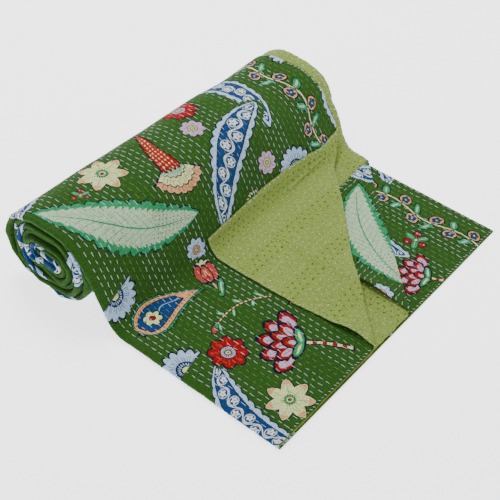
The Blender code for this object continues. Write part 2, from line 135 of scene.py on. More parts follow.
# ---- The line of the strip, seen from its side ---------------------------------------------------
@dataclass
class StripLine:
    """The strip's underside in the Y-Z plane: flat, up the front of the roll, and round it to the core."""

    flat: float = 0.336              # loose end on the surface
    foot_radius: float = 0.055       # bend where the strip leaves the surface
    roll_y: float = 0.524            # middle of the roll, from the end hem
    core_half: float = 0.0215        # half the flat core
    turn_radius: float = 0.0755      # inner side of the outer turn, round either end of the core
    pitch: float = 0.0122            # from one turn to the next
    ease: float = 0.2                # radians in which the winding starts to close in
    half_turns: int = 12
    steps: int = 30                  # in each half turn
    halvings: int = 50               # in the search for the slope of the climb
    slopes: tuple[float, float] = (20.0, 89.0)     # which it starts between, in degrees
    slope: float = field(init=False)
    along: np.ndarray = field(init=False)
    line: np.ndarray = field(init=False)
    facing: np.ndarray = field(init=False)

    def __post_init__(self) -> None:
        """Work out the line as a close table, from which place() reads."""
        self.slope = self.climb_angle()
        bend = np.linspace(0.0, self.slope, self.steps)
        foot = np.stack([self.flat + self.foot_radius * np.sin(bend),
                         self.foot_radius * (1.0 - np.cos(bend))], axis=1)
        turned = [np.linspace(0.0, self.slope, self.steps)]
        side = [np.full(self.steps, -1.0)]
        for half in range(self.half_turns):
            start = self.slope + half * math.pi
            turned.append(np.linspace(start, start + math.pi, self.steps))
            side.append(np.full(self.steps, 1.0 if half % 2 == 0 else -1.0))
        turned.append(turned[-1][-1:])
        side.append(-side[-1][-1:])
        turned, side = np.concatenate(turned), np.concatenate(side)
        angle = math.pi / 2 + self.slope - turned
        radius = self.radius(turned)
        wound = np.stack([self.roll_y + side * self.core_half + radius * np.cos(angle),
                          self.centre_height(self.slope) + radius * np.sin(angle)], axis=1)
        self.line = np.concatenate([[[0.0, 0.0]], foot, wound])
        self.along = np.concatenate([[0.0], np.cumsum(np.hypot(*np.diff(self.line, axis=0).T))])
        self.facing = np.concatenate([[math.pi / 2], math.pi / 2 + bend, angle])

    def radius(self, turned: np.ndarray | float) -> np.ndarray | float:
        """Radius of the turns after so many radians: one pitch less for each full turn."""
        return self.turn_radius - self.pitch * turned ** 2 / (turned + self.ease) / (2 * math.pi)

    def centre_height(self, slope: float) -> float:
        """Height of the core, so that the outer turn lies on the surface."""
        return float(self.radius(slope + math.pi)) + CUT.stack

    def climb_angle(self) -> float:
        """Slope of the straight run that leaves the foot's bend and just touches the roll, by halving.

        Returns:
            The slope, in radians.
        """
        low, high = (math.radians(slope) for slope in self.slopes)
        for _ in range(self.halvings):
            angle = (low + high) / 2
            rise = self.centre_height(angle) - self.foot_radius * (1.0 - math.cos(angle))
            run = self.roll_y - self.core_half - self.flat - self.foot_radius * math.sin(angle)
            if run * math.sin(angle) - rise * math.cos(angle) > self.turn_radius:
                high = angle
            else:
                low = angle
        return (low + high) / 2

    def place(self, v: np.ndarray, h: np.ndarray) -> tuple[np.ndarray, np.ndarray]:
        """Y and Z of points on the strip.

        Args:
            v: how far along the strip.
            h: how high over its underside.

        Returns:
            The point of the line at v, moved by h in the direction that the line's print faces there.
        """
        facing = np.interp(v, self.along, self.facing)
        y = np.interp(v, self.along, self.line[:, 0]) + h * np.cos(facing)
        z = np.interp(v, self.along, self.line[:, 1]) + h * np.sin(facing)
        return y, z


# ---- The folds across ----------------------------------------------------------------------------
class Ply(Enum):
    """The straight runs of the folded section, from the top hem on, with their place in Section.runs."""

    TOP = 0
    BOTTOM = 2
    THIRD = 4
    SECOND = 6


@dataclass
class Section:
    """The strip seen from its end: four plies, joined by three folds."""

    outer_bend: float = 1.5 * CUT.layer
    inner_bend: float = 0.5 * CUT.layer
    runs: list[tuple[float, float | None]] = field(init=False)      # length, bend's radius
    starts: np.ndarray = field(init=False)
    fold_u: float = field(init=False)
    turn_u: float = field(init=False)

    def __post_init__(self) -> None:
        """Work out the runs' lengths from the strip's width."""
        self.fold_u = -CUT.half + self.outer_bend + CUT.ply / 2
        self.turn_u = CUT.half - self.inner_bend - CUT.ply / 2
        middle = self.turn_u - self.fold_u
        self.runs = [
            (CUT.half - CUT.top_hem_back - self.fold_u, None),
            (math.pi * self.outer_bend, self.outer_bend),
            (middle, None),
            (math.pi * self.inner_bend, self.inner_bend),
            (middle, None),
            (math.pi * self.inner_bend, -self.inner_bend),
            (CUT.half - CUT.second_hem_back - self.fold_u, None),
        ]
        self.starts = np.concatenate([[0.0], np.cumsum([run[0] for run in self.runs])])

    @property
    def whole(self) -> float:
        """Width of the open quilt."""
        return float(self.starts[-1])

    def ends(self, ply: Ply) -> tuple[float, float]:
        """Where a ply's straight run begins and ends, as ways across the open quilt."""
        return float(self.starts[ply.value]), float(self.starts[ply.value + 1])

    def way(self, ply: Ply, u: np.ndarray) -> np.ndarray:
        """The way across the open quilt of a point u of a ply.

        Args:
            ply: the ply.
            u: ways across the strip.

        Returns:
            The ways across the open quilt.
        """
        start, _ = self.ends(ply)
        if ply is Ply.TOP:
            return CUT.half - CUT.top_hem_back - u
        if ply is Ply.THIRD:
            return start + self.turn_u - u
        return start + u - self.fold_u

    def across(self, s: np.ndarray) -> tuple[np.ndarray, np.ndarray, np.ndarray, np.ndarray]:
        """Place and heading in the end view of ways across the open quilt.

        Each run carries on from the last one's end: a straight one along its heading, a fold round a
        circle. The first and last runs go on straight past the hems.

        Args:
            s: ways across the open quilt.

        Returns:
            u, h, and the heading's components along u and h.
        """
        u, h, du, dh = (np.zeros(s.shape) for _ in range(4))
        at = np.array([CUT.half - CUT.top_hem_back, 3 * CUT.layer + CUT.ply / 2])
        heading = math.pi
        last = len(self.runs) - 1
        for number, (length, bend) in enumerate(self.runs):
            here = (s > self.starts[number]) | (number == 0)
            here = here & ((s <= self.starts[number + 1]) | (number == last))
            step = s[here] - self.starts[number]
            if bend is None:
                angle = np.full(step.shape, heading)
                u[here] = at[0] + step * math.cos(heading)
                h[here] = at[1] + step * math.sin(heading)
                at = at + length * np.array([math.cos(heading), math.sin(heading)])
            else:
                angle = heading + step / bend
                u[here] = at[0] + bend * (np.sin(angle) - math.sin(heading))
                h[here] = at[1] - bend * (np.cos(angle) - math.cos(heading))
                turned = heading + length / bend
                at = at + bend * np.array([math.sin(turned) - math.sin(heading),
                                           math.cos(heading) - math.cos(turned)])
                heading = turned
            du[here] = np.cos(angle)
            dh[here] = np.sin(angle)
        return u, h, du, dh


@dataclass(frozen=True)
class Corner:
    """A corner of one ply at the loose end, folded back over its own ply.

    The fold line joins the long hem, `along` from the corner, to the end hem, `aside` from it.
    """

    hem: float                       # u of the ply's long hem
    aside: float
    along: float
    up: float                        # +1 where the ply's print is on top
    bend: float = 0.5 * CUT.layer + 0.0004

    @property
    def across_fold(self) -> tuple[float, float]:
        """Unit vector in (u, v), square to the fold line and towards the corner."""
        return self.along / self.fold_length, -self.aside / self.fold_length

    @property
    def fold_length(self) -> float:
        """Length of the fold line."""
        return math.hypot(self.aside, self.along)

    @property
    def foot(self) -> float:
        """u of the fold line's end at the end hem."""
        return self.hem - self.aside

    def beyond(self, u: np.ndarray, v: np.ndarray) -> np.ndarray:
        """How far points of the open ply lie beyond the fold line."""
        a, b = self.across_fold
        return (u - self.hem) * a + (v - self.along) * b

    def fold(self, u: np.ndarray, v: np.ndarray, h: np.ndarray, o: np.ndarray) -> tuple[np.ndarray, ...]:
        """Fold the corner over: points beyond the line go round a half circle and come back above it.

        Args:
            u: ways across the strip.
            v: ways along it.
            h: height of the ply's middle.
            o: way through the ply.

        Returns:
            The folded u, v and h, and how far each point is past the bend.
        """
        beyond = self.beyond(u, v)
        angle = np.clip(beyond / self.bend, 0.0, math.pi)
        past = np.maximum(beyond - math.pi * self.bend, 0.0)
        out = np.where(beyond > 0.0, self.bend * np.sin(angle) - past, beyond)
        height = h + self.bend * (1.0 - np.cos(angle)) + o * self.up * np.cos(angle)
        out = out - o * self.up * np.sin(angle)
        a, b = self.across_fold
        return u + (out - beyond) * a, v + (out - beyond) * b, height, past


# ---- The quilt as it lies ------------------------------------------------------------------------
@dataclass
class QuiltForm:
    """Carries points of the open quilt to where they lie, with the unevenness of folded cloth."""

    line: StripLine = field(default_factory=StripLine)
    section: Section = field(default_factory=Section)
    top_corner: Corner = Corner(CUT.half - CUT.top_hem_back, 0.4056, 0.4235, 1.0)
    second_corner: Corner = Corner(CUT.half - CUT.second_hem_back, 0.303, 0.303, -1.0)
    ramp: float = 0.020              # the top ply climbs over the second corner in this distance
    edge_bow: float = 0.0005         # the loose end's folded edge bows in
    roll_wider: float = 0.016        # the strip spreads towards the open side of the roll
    roll_from: float = 0.30          # there the loose end starts to become the roll
    roll_blend: float = 0.15         # and in this distance it is
    second_out: float = 0.008        # and the second ply's hem slips out further
    second_out_top: float = 0.016    # and further again on top of the roll
    top_from: float = 0.48           # which starts there
    slip_wide: float = 0.10          # the slip fades out in this distance from the hem
    dip: float = 0.040               # share by which the roll is lower near its open side
    dip_at: tuple[float, float] = (0.83, 0.09)      # the dip's middle and width, as shares of the strip's
    taper: float = 0.045             # share by which the roll is lower at its open side
    drift: float = 0.006             # the turns' edges stand in and out at the ends of the roll
    fold_drift: float = 0.0042       # and the folds along the strip a little more
    loft: float = 0.0022             # the plies of the loose end part a little
    sag_depth: float = 0.0010        # and the cloth lies in shallow waves
    sag_to: float = 0.80             # as far along as it shows
    hem_lift: float = 0.007          # the top corner's short hem stands up
    hem_lift_at: tuple[float, float] = (0.058, 0.032)        # there: the middle and the width, along v
    hem_bulge: float = 0.008         # and bulges out
    long_hem_bulge: float = 0.007    # its long hem bulges too
    fold_bow: float = 0.013          # the first corner's fold bows out where it climbs
    fold_rise: float = 0.008         # and doesn't lie flat there
    low_rise: float = 0.0050         # the first corner's fold lies loosely further down
    second_lift: float = 0.0110      # the second corner's short hem stands up near the first one's fold
    second_lift_at: tuple[float, float] = (0.085, 0.045)     # there, along v
    second_rise: float = 0.012       # the second ply stands off the third where the strip starts to climb
    second_rise_at: tuple[float, float] = (0.325, 0.05)      # there, along v
    creases: tuple[tuple[float, ...], ...] = (               # u and v of both ends, and height
        (0.12, 0.366, 0.27, 0.390, 0.0026), (0.05, 0.292, 0.14, 0.330, 0.0021),
        (0.20, 0.300, 0.255, 0.235, 0.0022), (-0.065, 0.145, 0.035, 0.115, 0.0024))
    crease_width: float = 0.0045
    step_back: float = 0.0012        # each ply's end hem lies this far behind the one below
    row_depth: float = 0.0008        # the cloth is drawn in along its stitched rows
    pucker: float = 0.00042          # and puckers between the stitches
    stitch: float = 0.0152           # one stitch and one gap
    stagger: float = 0.48            # each row starts by this share of a stitch later than the last
    hem_round: float = 0.0020        # the cloth turns in to its hem in this distance
    length: float = field(init=False)
    shift: np.ndarray = field(init=False)

    def __post_init__(self) -> None:
        """Read from the frame where the strip's own origin lies."""
        self.length = float(self.line.along[-1])
        solid = bpy.data.objects["loose_end_face"]
        points = np.empty(3 * len(solid.data.vertices))
        solid.data.vertices.foreach_get("co", points)
        points = points.reshape(-1, 3)
        end = points[:, 1].min()
        at_end = points[points[:, 1] < end + 2 * CUT.ply]
        self.shift = np.array([at_end[:, 0].min() + CUT.half, end, 0.0])

    def hem_distance(self, s: np.ndarray, v: np.ndarray) -> np.ndarray:
        """Distance to the nearest hem of the open quilt."""
        return np.minimum(np.minimum(s, self.section.whole - s), np.minimum(v, self.length - v))

    def outside(self, s: np.ndarray, v: np.ndarray, side: float) -> np.ndarray:
        """Way through to a cloth's outer surface: half a ply, less where rows and hems draw it in.

        Between rows the cloth stands up as a rounded ridge, the square root of a cosine hump. Puckers
        run across the ridges. At a hem the surface turns in round a quarter ellipse.

        Args:
            s: ways across the open quilt.
            v: ways along it.
            side: 1 for the print, -1 for the backing.

        Returns:
            Signed way through.
        """
        u = self.section.across(s)[0]
        phase = (u + CUT.half) / CUT.row
        ridge = np.sqrt(0.5 + 0.5 * np.cos(2 * math.pi * phase) + 0.02)
        row = np.floor(phase)
        middle = -0.285 if side > 0 else 0.215                # of a stitch, as a share of the beat
        beat = np.cos(2 * math.pi * (v / self.stitch + self.stagger * row + middle))
        drawn = self.row_depth * (1.0 - ridge) * (1.0 + 0.55 * beat)
        tucks = ripple(s, v, ((0.5, 210.0, 640.0, 0.0), (0.5, -160.0, 730.0, 1.3), (0.4, 470.0, 310.0, 2.1)))
        thick = CUT.ply / 2 - drawn + self.pucker * (tucks - 1.4) * ridge
        turn_in = np.clip(self.hem_distance(s, v) / self.hem_round, 0.0, 1.0)
        return side * thick * np.sqrt(np.maximum(1.0 - (1.0 - turn_in) ** 2, 0.0))

    def ragged(self, s: np.ndarray, v: np.ndarray) -> tuple[np.ndarray, np.ndarray]:
        """Move points near the hems, which aren't quite straight: 1 mm waves that fade within 25 mm.

        Args:
            s: ways across the open quilt.
            v: ways along it.

        Returns:
            The moved s and v.
        """
        fade = 0.025
        waves = ((0.5, 0.0, 95.0, 0.3), (0.35, 0.0, 171.0, 1.9), (0.3, 0.0, 333.0, 0.7))
        by_v = 0.0011 * ripple(s * 0, v, waves)
        by_s = 0.0009 * ripple(v * 0, s, waves)
        new_s = s + by_v * (hump(s, fade) - hump(self.section.whole - s, fade))
        return new_s, v + by_s * hump(v, fade)

    def on_roll(self, v: np.ndarray) -> np.ndarray:
        """0 on the loose end and 1 on the roll."""
        return smooth_step((v - self.roll_from) / self.roll_blend)

    def on_flat(self, v: np.ndarray) -> np.ndarray:
        """1 in the middle of the flat loose end and 0 at both its ends, as half a sine wave."""
        return np.sin(np.clip(v / self.line.flat, 0.0, 1.0) * math.pi)

    def over_second(self, u: np.ndarray, v: np.ndarray) -> np.ndarray:
        """1 where the top ply lies over the second ply's turned corner, 0 away from it.

        Args:
            u: ways across the strip.
            v: ways along it.

        Returns:
            The share, for each point.
        """
        over_u = smooth_step((u - (self.second_corner.foot - 0.002 - self.ramp)) / self.ramp)
        over_v = smooth_step((self.second_corner.along + 0.002 + self.ramp - v) / self.ramp)
        return over_u * over_v

    def turned_back(self, u: np.ndarray, v: np.ndarray, past: np.ndarray) -> tuple[np.ndarray, ...]:
        """The turned top corner isn't a flat triangle: its hems bulge and its short hem stands up.

        Args:
            u: ways across of points on the turned corner.
            v: ways along.
            past: how far they are past the bend.

        Returns:
            What to add to u, to v and to the height.
        """
        along = np.clip(v / self.top_corner.along, 0.0, 1.0)
        inward = np.maximum(u - self.top_corner.foot, 0.0)
        away = smooth_step(past / 0.12)
        short_hem = hump(inward, 0.10) * away
        out = -self.hem_bulge * np.sin(math.pi * along) * short_hem
        long_hem = hump(self.top_corner.along - v, 0.06) * away
        up_v = self.long_hem_bulge * np.sin(math.pi * np.clip(past / 0.28, 0.0, 1.0)) * long_hem
        middle, width = self.hem_lift_at
        lift = self.hem_lift * hump(v - middle, width) * hump(inward, 0.05)
        return out, up_v, (lift + self.creased(u, v)) * smooth_step(past / 0.02)

    def creased(self, u: np.ndarray, v: np.ndarray) -> np.ndarray:
        """Height of the creases that cross the turned corner.

        At a distance d from its line and a share t along it, a crease has e^(-(d / width)^2) * 4t(1 - t) of
        its height.

        Args:
            u: ways across the strip.
            v: ways along it.

        Returns:
            The height, for each point.
        """
        total = np.zeros(u.shape)
        for u0, v0, u1, v1, height in self.creases:
            size = math.hypot(u1 - u0, v1 - v0)
            t = ((u - u0) * (u1 - u0) + (v - v0) * (v1 - v0)) / size ** 2
            aside = ((u - u0) * (v1 - v0) - (v - v0) * (u1 - u0)) / size
            total = total + height * hump(aside, self.crease_width) * np.clip(4 * t * (1 - t), 0.0, 1.0)
        return total

    def near_fold(self, u: np.ndarray, v: np.ndarray) -> tuple[np.ndarray, np.ndarray]:
        """How near points are to the upper and to the lower part of the first corner's fold.

        Along the fold line, p runs from 0 at the end hem to 1 at the long hem. The upper share rises from
        p = 0.3 to 0.75 and falls in the last eighth; the lower one ends at 0.45. Across the line, they
        fade in 70 and in 30 mm.

        Args:
            u: ways across the strip.
            v: ways along it.

        Returns:
            Both shares, from 0 to 1.
        """
        corner = self.top_corner
        p = ((u - corner.hem + corner.aside) * corner.aside + v * corner.along) / corner.fold_length ** 2
        beyond = corner.beyond(u, v)
        upper = smooth_step((p - 0.3) / 0.45) * smooth_step((1.0 - p) / 0.12) * hump(beyond, 0.07)
        return upper, smooth_step(p / 0.06) * smooth_step((0.45 - p) / 0.15) * hump(beyond, 0.03)

    def wander(self, u: np.ndarray, v: np.ndarray) -> np.ndarray:
        """How far the folded strip stands to one side: slow waves for all, quicker ones at its folds.

        Args:
            u: ways across the strip.
            v: ways along it.

        Returns:
            What to add to X.
        """
        slow = 0.6 * np.sin(7.3 * v + 0.4) + 0.4 * np.sin(17.0 * v)
        quick = ripple(u * 0, v, ((0.5, 0.0, 47.0, 0.2), (0.35, 0.0, 83.0, 1.1), (0.25, 0.0, 151.0, 2.3)))
        at_folds = hump(u + CUT.half, 0.03) + 0.6 * hump(u - CUT.half, 0.02)
        inside = 0.12 + 0.88 * smooth_step((v - 0.5) / 0.2)
        return self.drift * slow * self.on_roll(v) + self.fold_drift * quick * at_folds * inside

    def sag(self, u: np.ndarray, v: np.ndarray, part: np.ndarray) -> np.ndarray:
        """Height that soft plies add or lose: long shallow waves, most in the top ply.

        Args:
            u: ways across the strip.
            v: ways along it.
            part: 0 for the lowest ply to 1 for the top one.

        Returns:
            What to add to the height.
        """
        waves = ((0.40, 26.0, 17.0, 0.4), (0.30, -19.0, 41.0, 1.7), (0.22, 58.0, 23.0, 2.9),
                 (0.16, 37.0, -71.0, 0.9))
        inside = np.clip((CUT.half - np.abs(u)) / 0.05, 0.0, 1.0)
        loft = self.loft * self.on_flat(v) * (0.55 + 0.45 * np.sin(9.0 * u + 1.0)) * inside
        seen = smooth_step((self.sag_to - v) / 0.08)
        return (loft + self.sag_depth * seen * (ripple(u, v, waves) - 0.2)) * part

    def place(self, s: np.ndarray, v: np.ndarray, o: np.ndarray) -> np.ndarray:
        """Fold the open quilt into the strip, turn its corners back and lay it on its line.

        Nothing comes below the surface that it lies on: there the cloth is pressed flat.

        Args:
            s: ways across the open quilt.
            v: ways along it.
            o: ways through.

        Returns:
            Points in the frame, as an array with X, Y and Z in its last axis.
        """
        s, v = self.ragged(s, v)
        u, h, du, dh = self.section.across(s)
        top = s < self.section.starts[1]
        second = s > self.section.starts[6]
        part = np.clip((h - CUT.ply / 2) / (3 * CUT.layer), 0.0, 1.0)
        v = v + self.step_back * 3 * part * np.clip(1.0 - v / 0.1, 0.0, 1.0)
        top_place = self.top_corner.fold(u, v, h, o)
        second_place = self.second_corner.fold(u, v, h, o)
        plain = (u + o * dh, v, h - o * du)
        out_u, out_v, out_h = (np.where(top, top_place[k], np.where(second, second_place[k], plain[k]))
                               for k in range(3))
        upper, _ = self.near_fold(out_u, out_v)
        upper = np.where(top, upper, 0.0)
        a, b = self.top_corner.across_fold
        out_u, out_v = out_u + self.fold_bow * upper * a, out_v + self.fold_bow * upper * b
        bulge_u, bulge_v, lift = self.turned_back(out_u, out_v, top_place[3])
        back = top & (top_place[3] > 0.0)
        out_u = out_u + np.where(back, bulge_u, 0.0)
        out_v = out_v + np.where(back, bulge_v, 0.0)
        climb = 2 * self.second_corner.bend * self.over_second(out_u, out_v) + np.where(back, lift, 0.0)
        middle, width = self.second_lift_at
        stand = hump(out_v - middle, width) * hump(out_u - self.second_corner.foot, 0.04)
        lifted = (second & (second_place[3] > 0.0)) | top
        out_h = out_h + np.where(lifted, self.second_lift * stand, 0.0) + self.fold_rise * upper
        _, lower = self.near_fold(out_u, out_v)
        out_h = out_h + np.where(top, self.low_rise * lower, 0.0)
        middle, width = self.second_rise_at
        rise = smooth_step((out_u - 0.22) / 0.12) * hump(out_v - middle, width)
        out_h = out_h + np.where(second, self.second_rise * rise, 0.0)
        out_h = out_h + np.where(top, climb, 0.0) + self.sag(out_u, out_v, part)
        slip = self.second_out_top * smooth_step((out_v - self.top_from) / self.roll_blend)
        slip = self.second_out * self.on_roll(out_v) + slip
        near_hem = smooth_step((out_u - CUT.half) / self.slip_wide + 1.0)
        out_u = out_u + np.where(second, slip * near_hem, 0.0)
        share = out_u / CUT.strip + 0.5
        x = out_u + self.edge_bow * self.on_flat(out_v) * (1.0 - share)
        x = x + self.roll_wider * self.on_roll(out_v) * share
        y, z = self.line.place(out_v, out_h)
        x = x + self.wander(out_u, out_v)
        middle, width = self.dip_at
        low = self.taper * share + self.dip * hump(share - middle, width) * self.on_roll(out_v)
        return np.stack([x, y, np.maximum(z * (1.0 - low), 0.0)], axis=-1) + self.shift


# ---- Meshes --------------------------------------------------------------------------------------
def add_object(name: str, data: bpy.types.ID) -> bpy.types.Object:
    """A new object in the scene, with this data.

    Args:
        name: its name.
        data: its mesh, light or camera.

    Returns:
        The object.
    """
    made = bpy.data.objects.new(name, data)
    bpy.context.collection.objects.link(made)
    return made


def smooth_piece(name: str, points: np.ndarray, faces: list[list[int]], uv_name: str,
                 ways: np.ndarray) -> bpy.types.Object:
    """A smooth mesh object with one UV map.

    Args:
        name: the object's name.
        points: its vertices.
        faces: the vertices of each face.
        uv_name: the UV map's name.
        ways: the UV map's coordinates, for each face corner.

    Returns:
        The object.
    """
    mesh = bpy.data.meshes.new(name)
    mesh.from_pydata(points, [], faces)
    mesh.uv_layers.new(name=uv_name).uv.foreach_set("vector", ways.reshape(-1).astype(np.float32))
    mesh.shade_smooth()
    mesh.update()
    return add_object(name, mesh)


def grid_corners(shape: tuple[int, int], flip: bool) -> np.ndarray:
    """Quads of a grid of points.

    Args:
        shape: number of points each way.
        flip: whether the quads face the other way.

    Returns:
        One row of four point numbers for each quad.
    """
    number = np.arange(shape[0] * shape[1]).reshape(shape)
    quads = np.stack([number[:-1, :-1], number[1:, :-1], number[1:, 1:], number[:-1, 1:]], axis=-1)
    return quads.reshape(-1, 4)[:, ::-1] if flip else quads.reshape(-1, 4)


def close_up(corners: np.ndarray, same: np.ndarray) -> tuple[np.ndarray, np.ndarray]:
    """Quads and triangles that are left once points in the same place are one.

    Args:
        corners: four point numbers for each quad, before merging.
        same: the merged number of each point.

    Returns:
        The quads, and the triangles that quads with one closed side have become.
    """
    merged = same[corners]
    closed = merged == np.roll(merged, -1, axis=1)
    crossed = (merged[:, 0] == merged[:, 2]) | (merged[:, 1] == merged[:, 3])
    quads = corners[~closed.any(axis=1) & ~crossed]
    three = (closed.sum(axis=1) == 1) & ~crossed
    triangles = [np.delete(corners[three & closed[:, side]], side, axis=1) for side in range(4)]
    return quads, np.concatenate(triangles)


@dataclass
class Surface:
    """Patches of grid points that become one mesh object."""

    name: str
    points: list[np.ndarray] = field(default_factory=list)
    ways: list[np.ndarray] = field(default_factory=list)
    corners: list[np.ndarray] = field(default_factory=list)
    count: int = 0

    def add(self, points: np.ndarray, ways: np.ndarray, flip: bool) -> None:
        """Add one patch.

        Args:
            points: places, in a grid.
            ways: the two coordinates of each point for its UV map.
            flip: whether the grid's quads face the wrong way.
        """
        self.corners.append(grid_corners(points.shape[:2], flip) + self.count)
        self.points.append(points.reshape(-1, 3))
        self.ways.append(ways.reshape(-1, 2))
        self.count += len(self.points[-1])

    def build(self, merge: float = 2e-5) -> tuple[bpy.types.Object, np.ndarray]:
        """Merge the patches' shared points and make a smooth mesh with a UV map named cloth.

        Args:
            merge: points that round to the same multiple of this become one.

        Returns:
            The object, and the UV map's coordinates for each face corner.
        """
        points, ways = np.concatenate(self.points), np.concatenate(self.ways)
        _, first, same = np.unique(np.round(points / merge).astype(np.int64), axis=0,
                                   return_index=True, return_inverse=True)
        same = same.reshape(-1)
        quads, triangles = close_up(np.concatenate(self.corners), same)
        faces = same[quads].tolist() + same[triangles].tolist()
        ways = ways[np.concatenate([quads.reshape(-1), triangles.reshape(-1)])]
        return smooth_piece(self.name, points[first], faces, "cloth", ways), ways


# ---- The two cloths ------------------------------------------------------------------------------
@dataclass
class Cloth:
    """One of the two cloths, as a single sheet from hem to hem.

    Points lie close together where the cloth shows, and far apart inside the folds and turns.
    """

    form: QuiltForm
    name: str
    side: float                      # 1 for the printed face, -1 for the backing
    fine: float = CUT.row / 4        # between columns where the cloth shows
    fine_along: float = 0.0042       # between rows where it shows
    shows_to: float = 0.98           # the strip shows this far along, on the outer turn
    bent_to: float = 0.45            # rows follow the corner's fold as far as this
    medium: int = 34                 # columns across a ply that is hidden but bends
    few: int = 9                     # columns across a ply inside the roll
    third_before: float = 0.02       # columns lie close from this far before the second corner's foot
    second_before: float = 0.01      # and on the second ply's underside, before the first one's
    edge_from: float = 0.30          # there the second ply's edge starts to show on the roll
    surface: Surface = field(init=False)

    def __post_init__(self) -> None:
        """Start with no patches."""
        self.surface = Surface(self.name)

    @property
    def hem_steps(self) -> np.ndarray:
        """Distances from a hem at which the rounded edge has points."""
        return self.form.hem_round * np.array([0.0, 0.1, 0.35, 1.0])

    def rows(self) -> np.ndarray:
        """Ways along the quilt that have a row of points, from hem to hem.

        Returns:
            Rising values of v.
        """
        shown = np.arange(2 * self.fine_along, self.shows_to, self.fine_along)
        table = self.form.line.along[::3]
        end = self.form.length
        rest = table[(table > self.shows_to + self.fine_along) & (table < end - 2 * self.form.hem_round)]
        return np.concatenate([self.hem_steps, shown, rest, end - self.hem_steps[::-1]])

    def columns(self, ply: Ply, fine_from: float | None, coarse: int = 5) -> np.ndarray:
        """Places across a ply that have a column of points.

        Args:
            ply: the ply.
            fine_from: u from which columns lie close together, or None for nowhere.
            coarse: number of columns in the rest.

        Returns:
            Rising values of u, with the rounded hem's own columns where the ply ends in a hem.
        """
        low = self.form.section.fold_u
        hem = ply in (Ply.TOP, Ply.SECOND)
        back = CUT.top_hem_back if ply is Ply.TOP else CUT.second_hem_back
        high = CUT.half - back if hem else self.form.section.turn_u
        inner = high - self.hem_steps[::-1] if hem else np.array([high])
        start = inner[0] if fine_from is None else max(fine_from, low)
        parts = [np.linspace(low, start, coarse)[:-1]] if start > low else []
        if fine_from is not None:
            count = int(round((inner[0] - start) / self.fine))
            parts.append(np.linspace(start, inner[0], count + 1)[:-1])
        return np.unique(np.round(np.concatenate([*parts, inner, [low]]), 9))

    def patch(self, s: np.ndarray, v: np.ndarray) -> None:
        """Lay one grid of points of the open quilt in place and keep it.

        The grid's quads face outwards: the cross product of its two directions in (s, v) tells which
        way round they run.

        Args:
            s: ways across the open quilt.
            v: ways along it.
        """
        s, v = np.broadcast_arrays(s, v)
        turn = np.sum(np.diff(s, axis=0)[:, :-1] * np.diff(v, axis=1)[:-1]
                      - np.diff(s, axis=1)[:-1] * np.diff(v, axis=0)[:, :-1])
        points = self.form.place(s, v, self.form.outside(s, v, self.side))
        self.surface.add(points, np.stack([s, v], axis=-1), (turn > 0) == (self.side > 0))

    def straight(self, ply: Ply, u: np.ndarray, v: np.ndarray) -> None:
        """A patch of a ply with straight rows."""
        self.patch(self.form.section.way(ply, u)[:, None], v[None, :])

    def cut_short(self, ply: Ply, corner: Corner, u: np.ndarray, rows: np.ndarray) -> None:
        """A patch of a ply up to its corner's fold.

        Its first row lies on the fold line, and the next rows close up towards it: each is its own way
        along, scaled between the fold line's way at that column and bent_to.

        Args:
            ply: the ply.
            corner: its corner.
            u: its columns.
            rows: ways along the quilt.
        """
        starts = np.maximum(corner.along * (1.0 + (u - corner.hem) / corner.aside), 0.0)[:, None]
        near = rows[rows <= self.bent_to]
        bent = starts + near[None, :] / near[-1] * (near[-1] - starts)
        self.patch(self.form.section.way(ply, u)[:, None], bent)

    def turned(self, ply: Ply, corner: Corner, along: int, away: int) -> None:
        """A patch of a corner beyond its fold: lines parallel to the fold in the bend, then out to the hems.

        Args:
            ply: the ply.
            corner: its corner.
            along: number of points along the fold line.
            away: number of points from the bend to the hems.
        """
        whole = corner.fold_length
        a, b = corner.across_fold
        peak = whole * corner.aside ** 2 / (corner.aside ** 2 + corner.along ** 2)
        p = np.unique(np.concatenate([np.linspace(0.0, whole, along), [peak]]))
        height = corner.aside * corner.along / whole
        reach = height * np.minimum(p / peak, (whole - p) / (whole - peak))
        bend = np.minimum(math.pi * corner.bend * np.linspace(0.0, 1.0, 9)[None, :], reach[:, None])
        start = bend[:, -1:]
        edge = np.minimum(self.form.hem_round * 1.5, 0.3 * (reach[:, None] - start))
        t = np.linspace(0.0, 1.0, away)[None, 1:]
        spread = start + t * (reach[:, None] - edge - start)
        rim = reach[:, None] - edge * np.array([0.5, 0.15, 0.0])[None, :]
        beyond = np.concatenate([bend, spread, rim], axis=1)
        u = corner.hem - corner.aside + p[:, None] * corner.aside / whole + beyond * a
        v = p[:, None] * corner.along / whole + beyond * b
        self.patch(self.form.section.way(ply, np.minimum(u, corner.hem)), np.maximum(v, 0.0))

    def fold(self, number: int, steps: int, rows: np.ndarray) -> None:
        """A patch round one of the three folds along the strip."""
        ends = self.form.section.starts[number:number + 2]
        self.patch(np.linspace(ends[0], ends[1], steps + 1)[:, None], rows[None, :])

    def build(self) -> tuple[bpy.types.Object, np.ndarray]:
        """Add every patch and make the sheet.

        Returns:
            The object, and the open quilt's s and v at each face corner.
        """
        form, rows = self.form, self.rows()
        face = self.side > 0
        near, far = rows[rows <= self.bent_to], rows[rows >= rows[rows <= self.bent_to][-1]]
        outer, inner = far[far <= self.shows_to], far[far >= far[far <= self.shows_to][-1]]
        foot, second_foot = form.top_corner.foot, form.second_corner.foot

        top = self.columns(Ply.TOP, form.section.fold_u if face else None, self.medium)
        top = np.unique(np.concatenate([top, [foot]]))
        self.cut_short(Ply.TOP, form.top_corner, top, near)
        self.straight(Ply.TOP, top, outer)
        self.straight(Ply.TOP, self.columns(Ply.TOP, None, self.few), inner)
        self.turned(Ply.TOP, form.top_corner, *((70, 40) if face else (170, 80)))

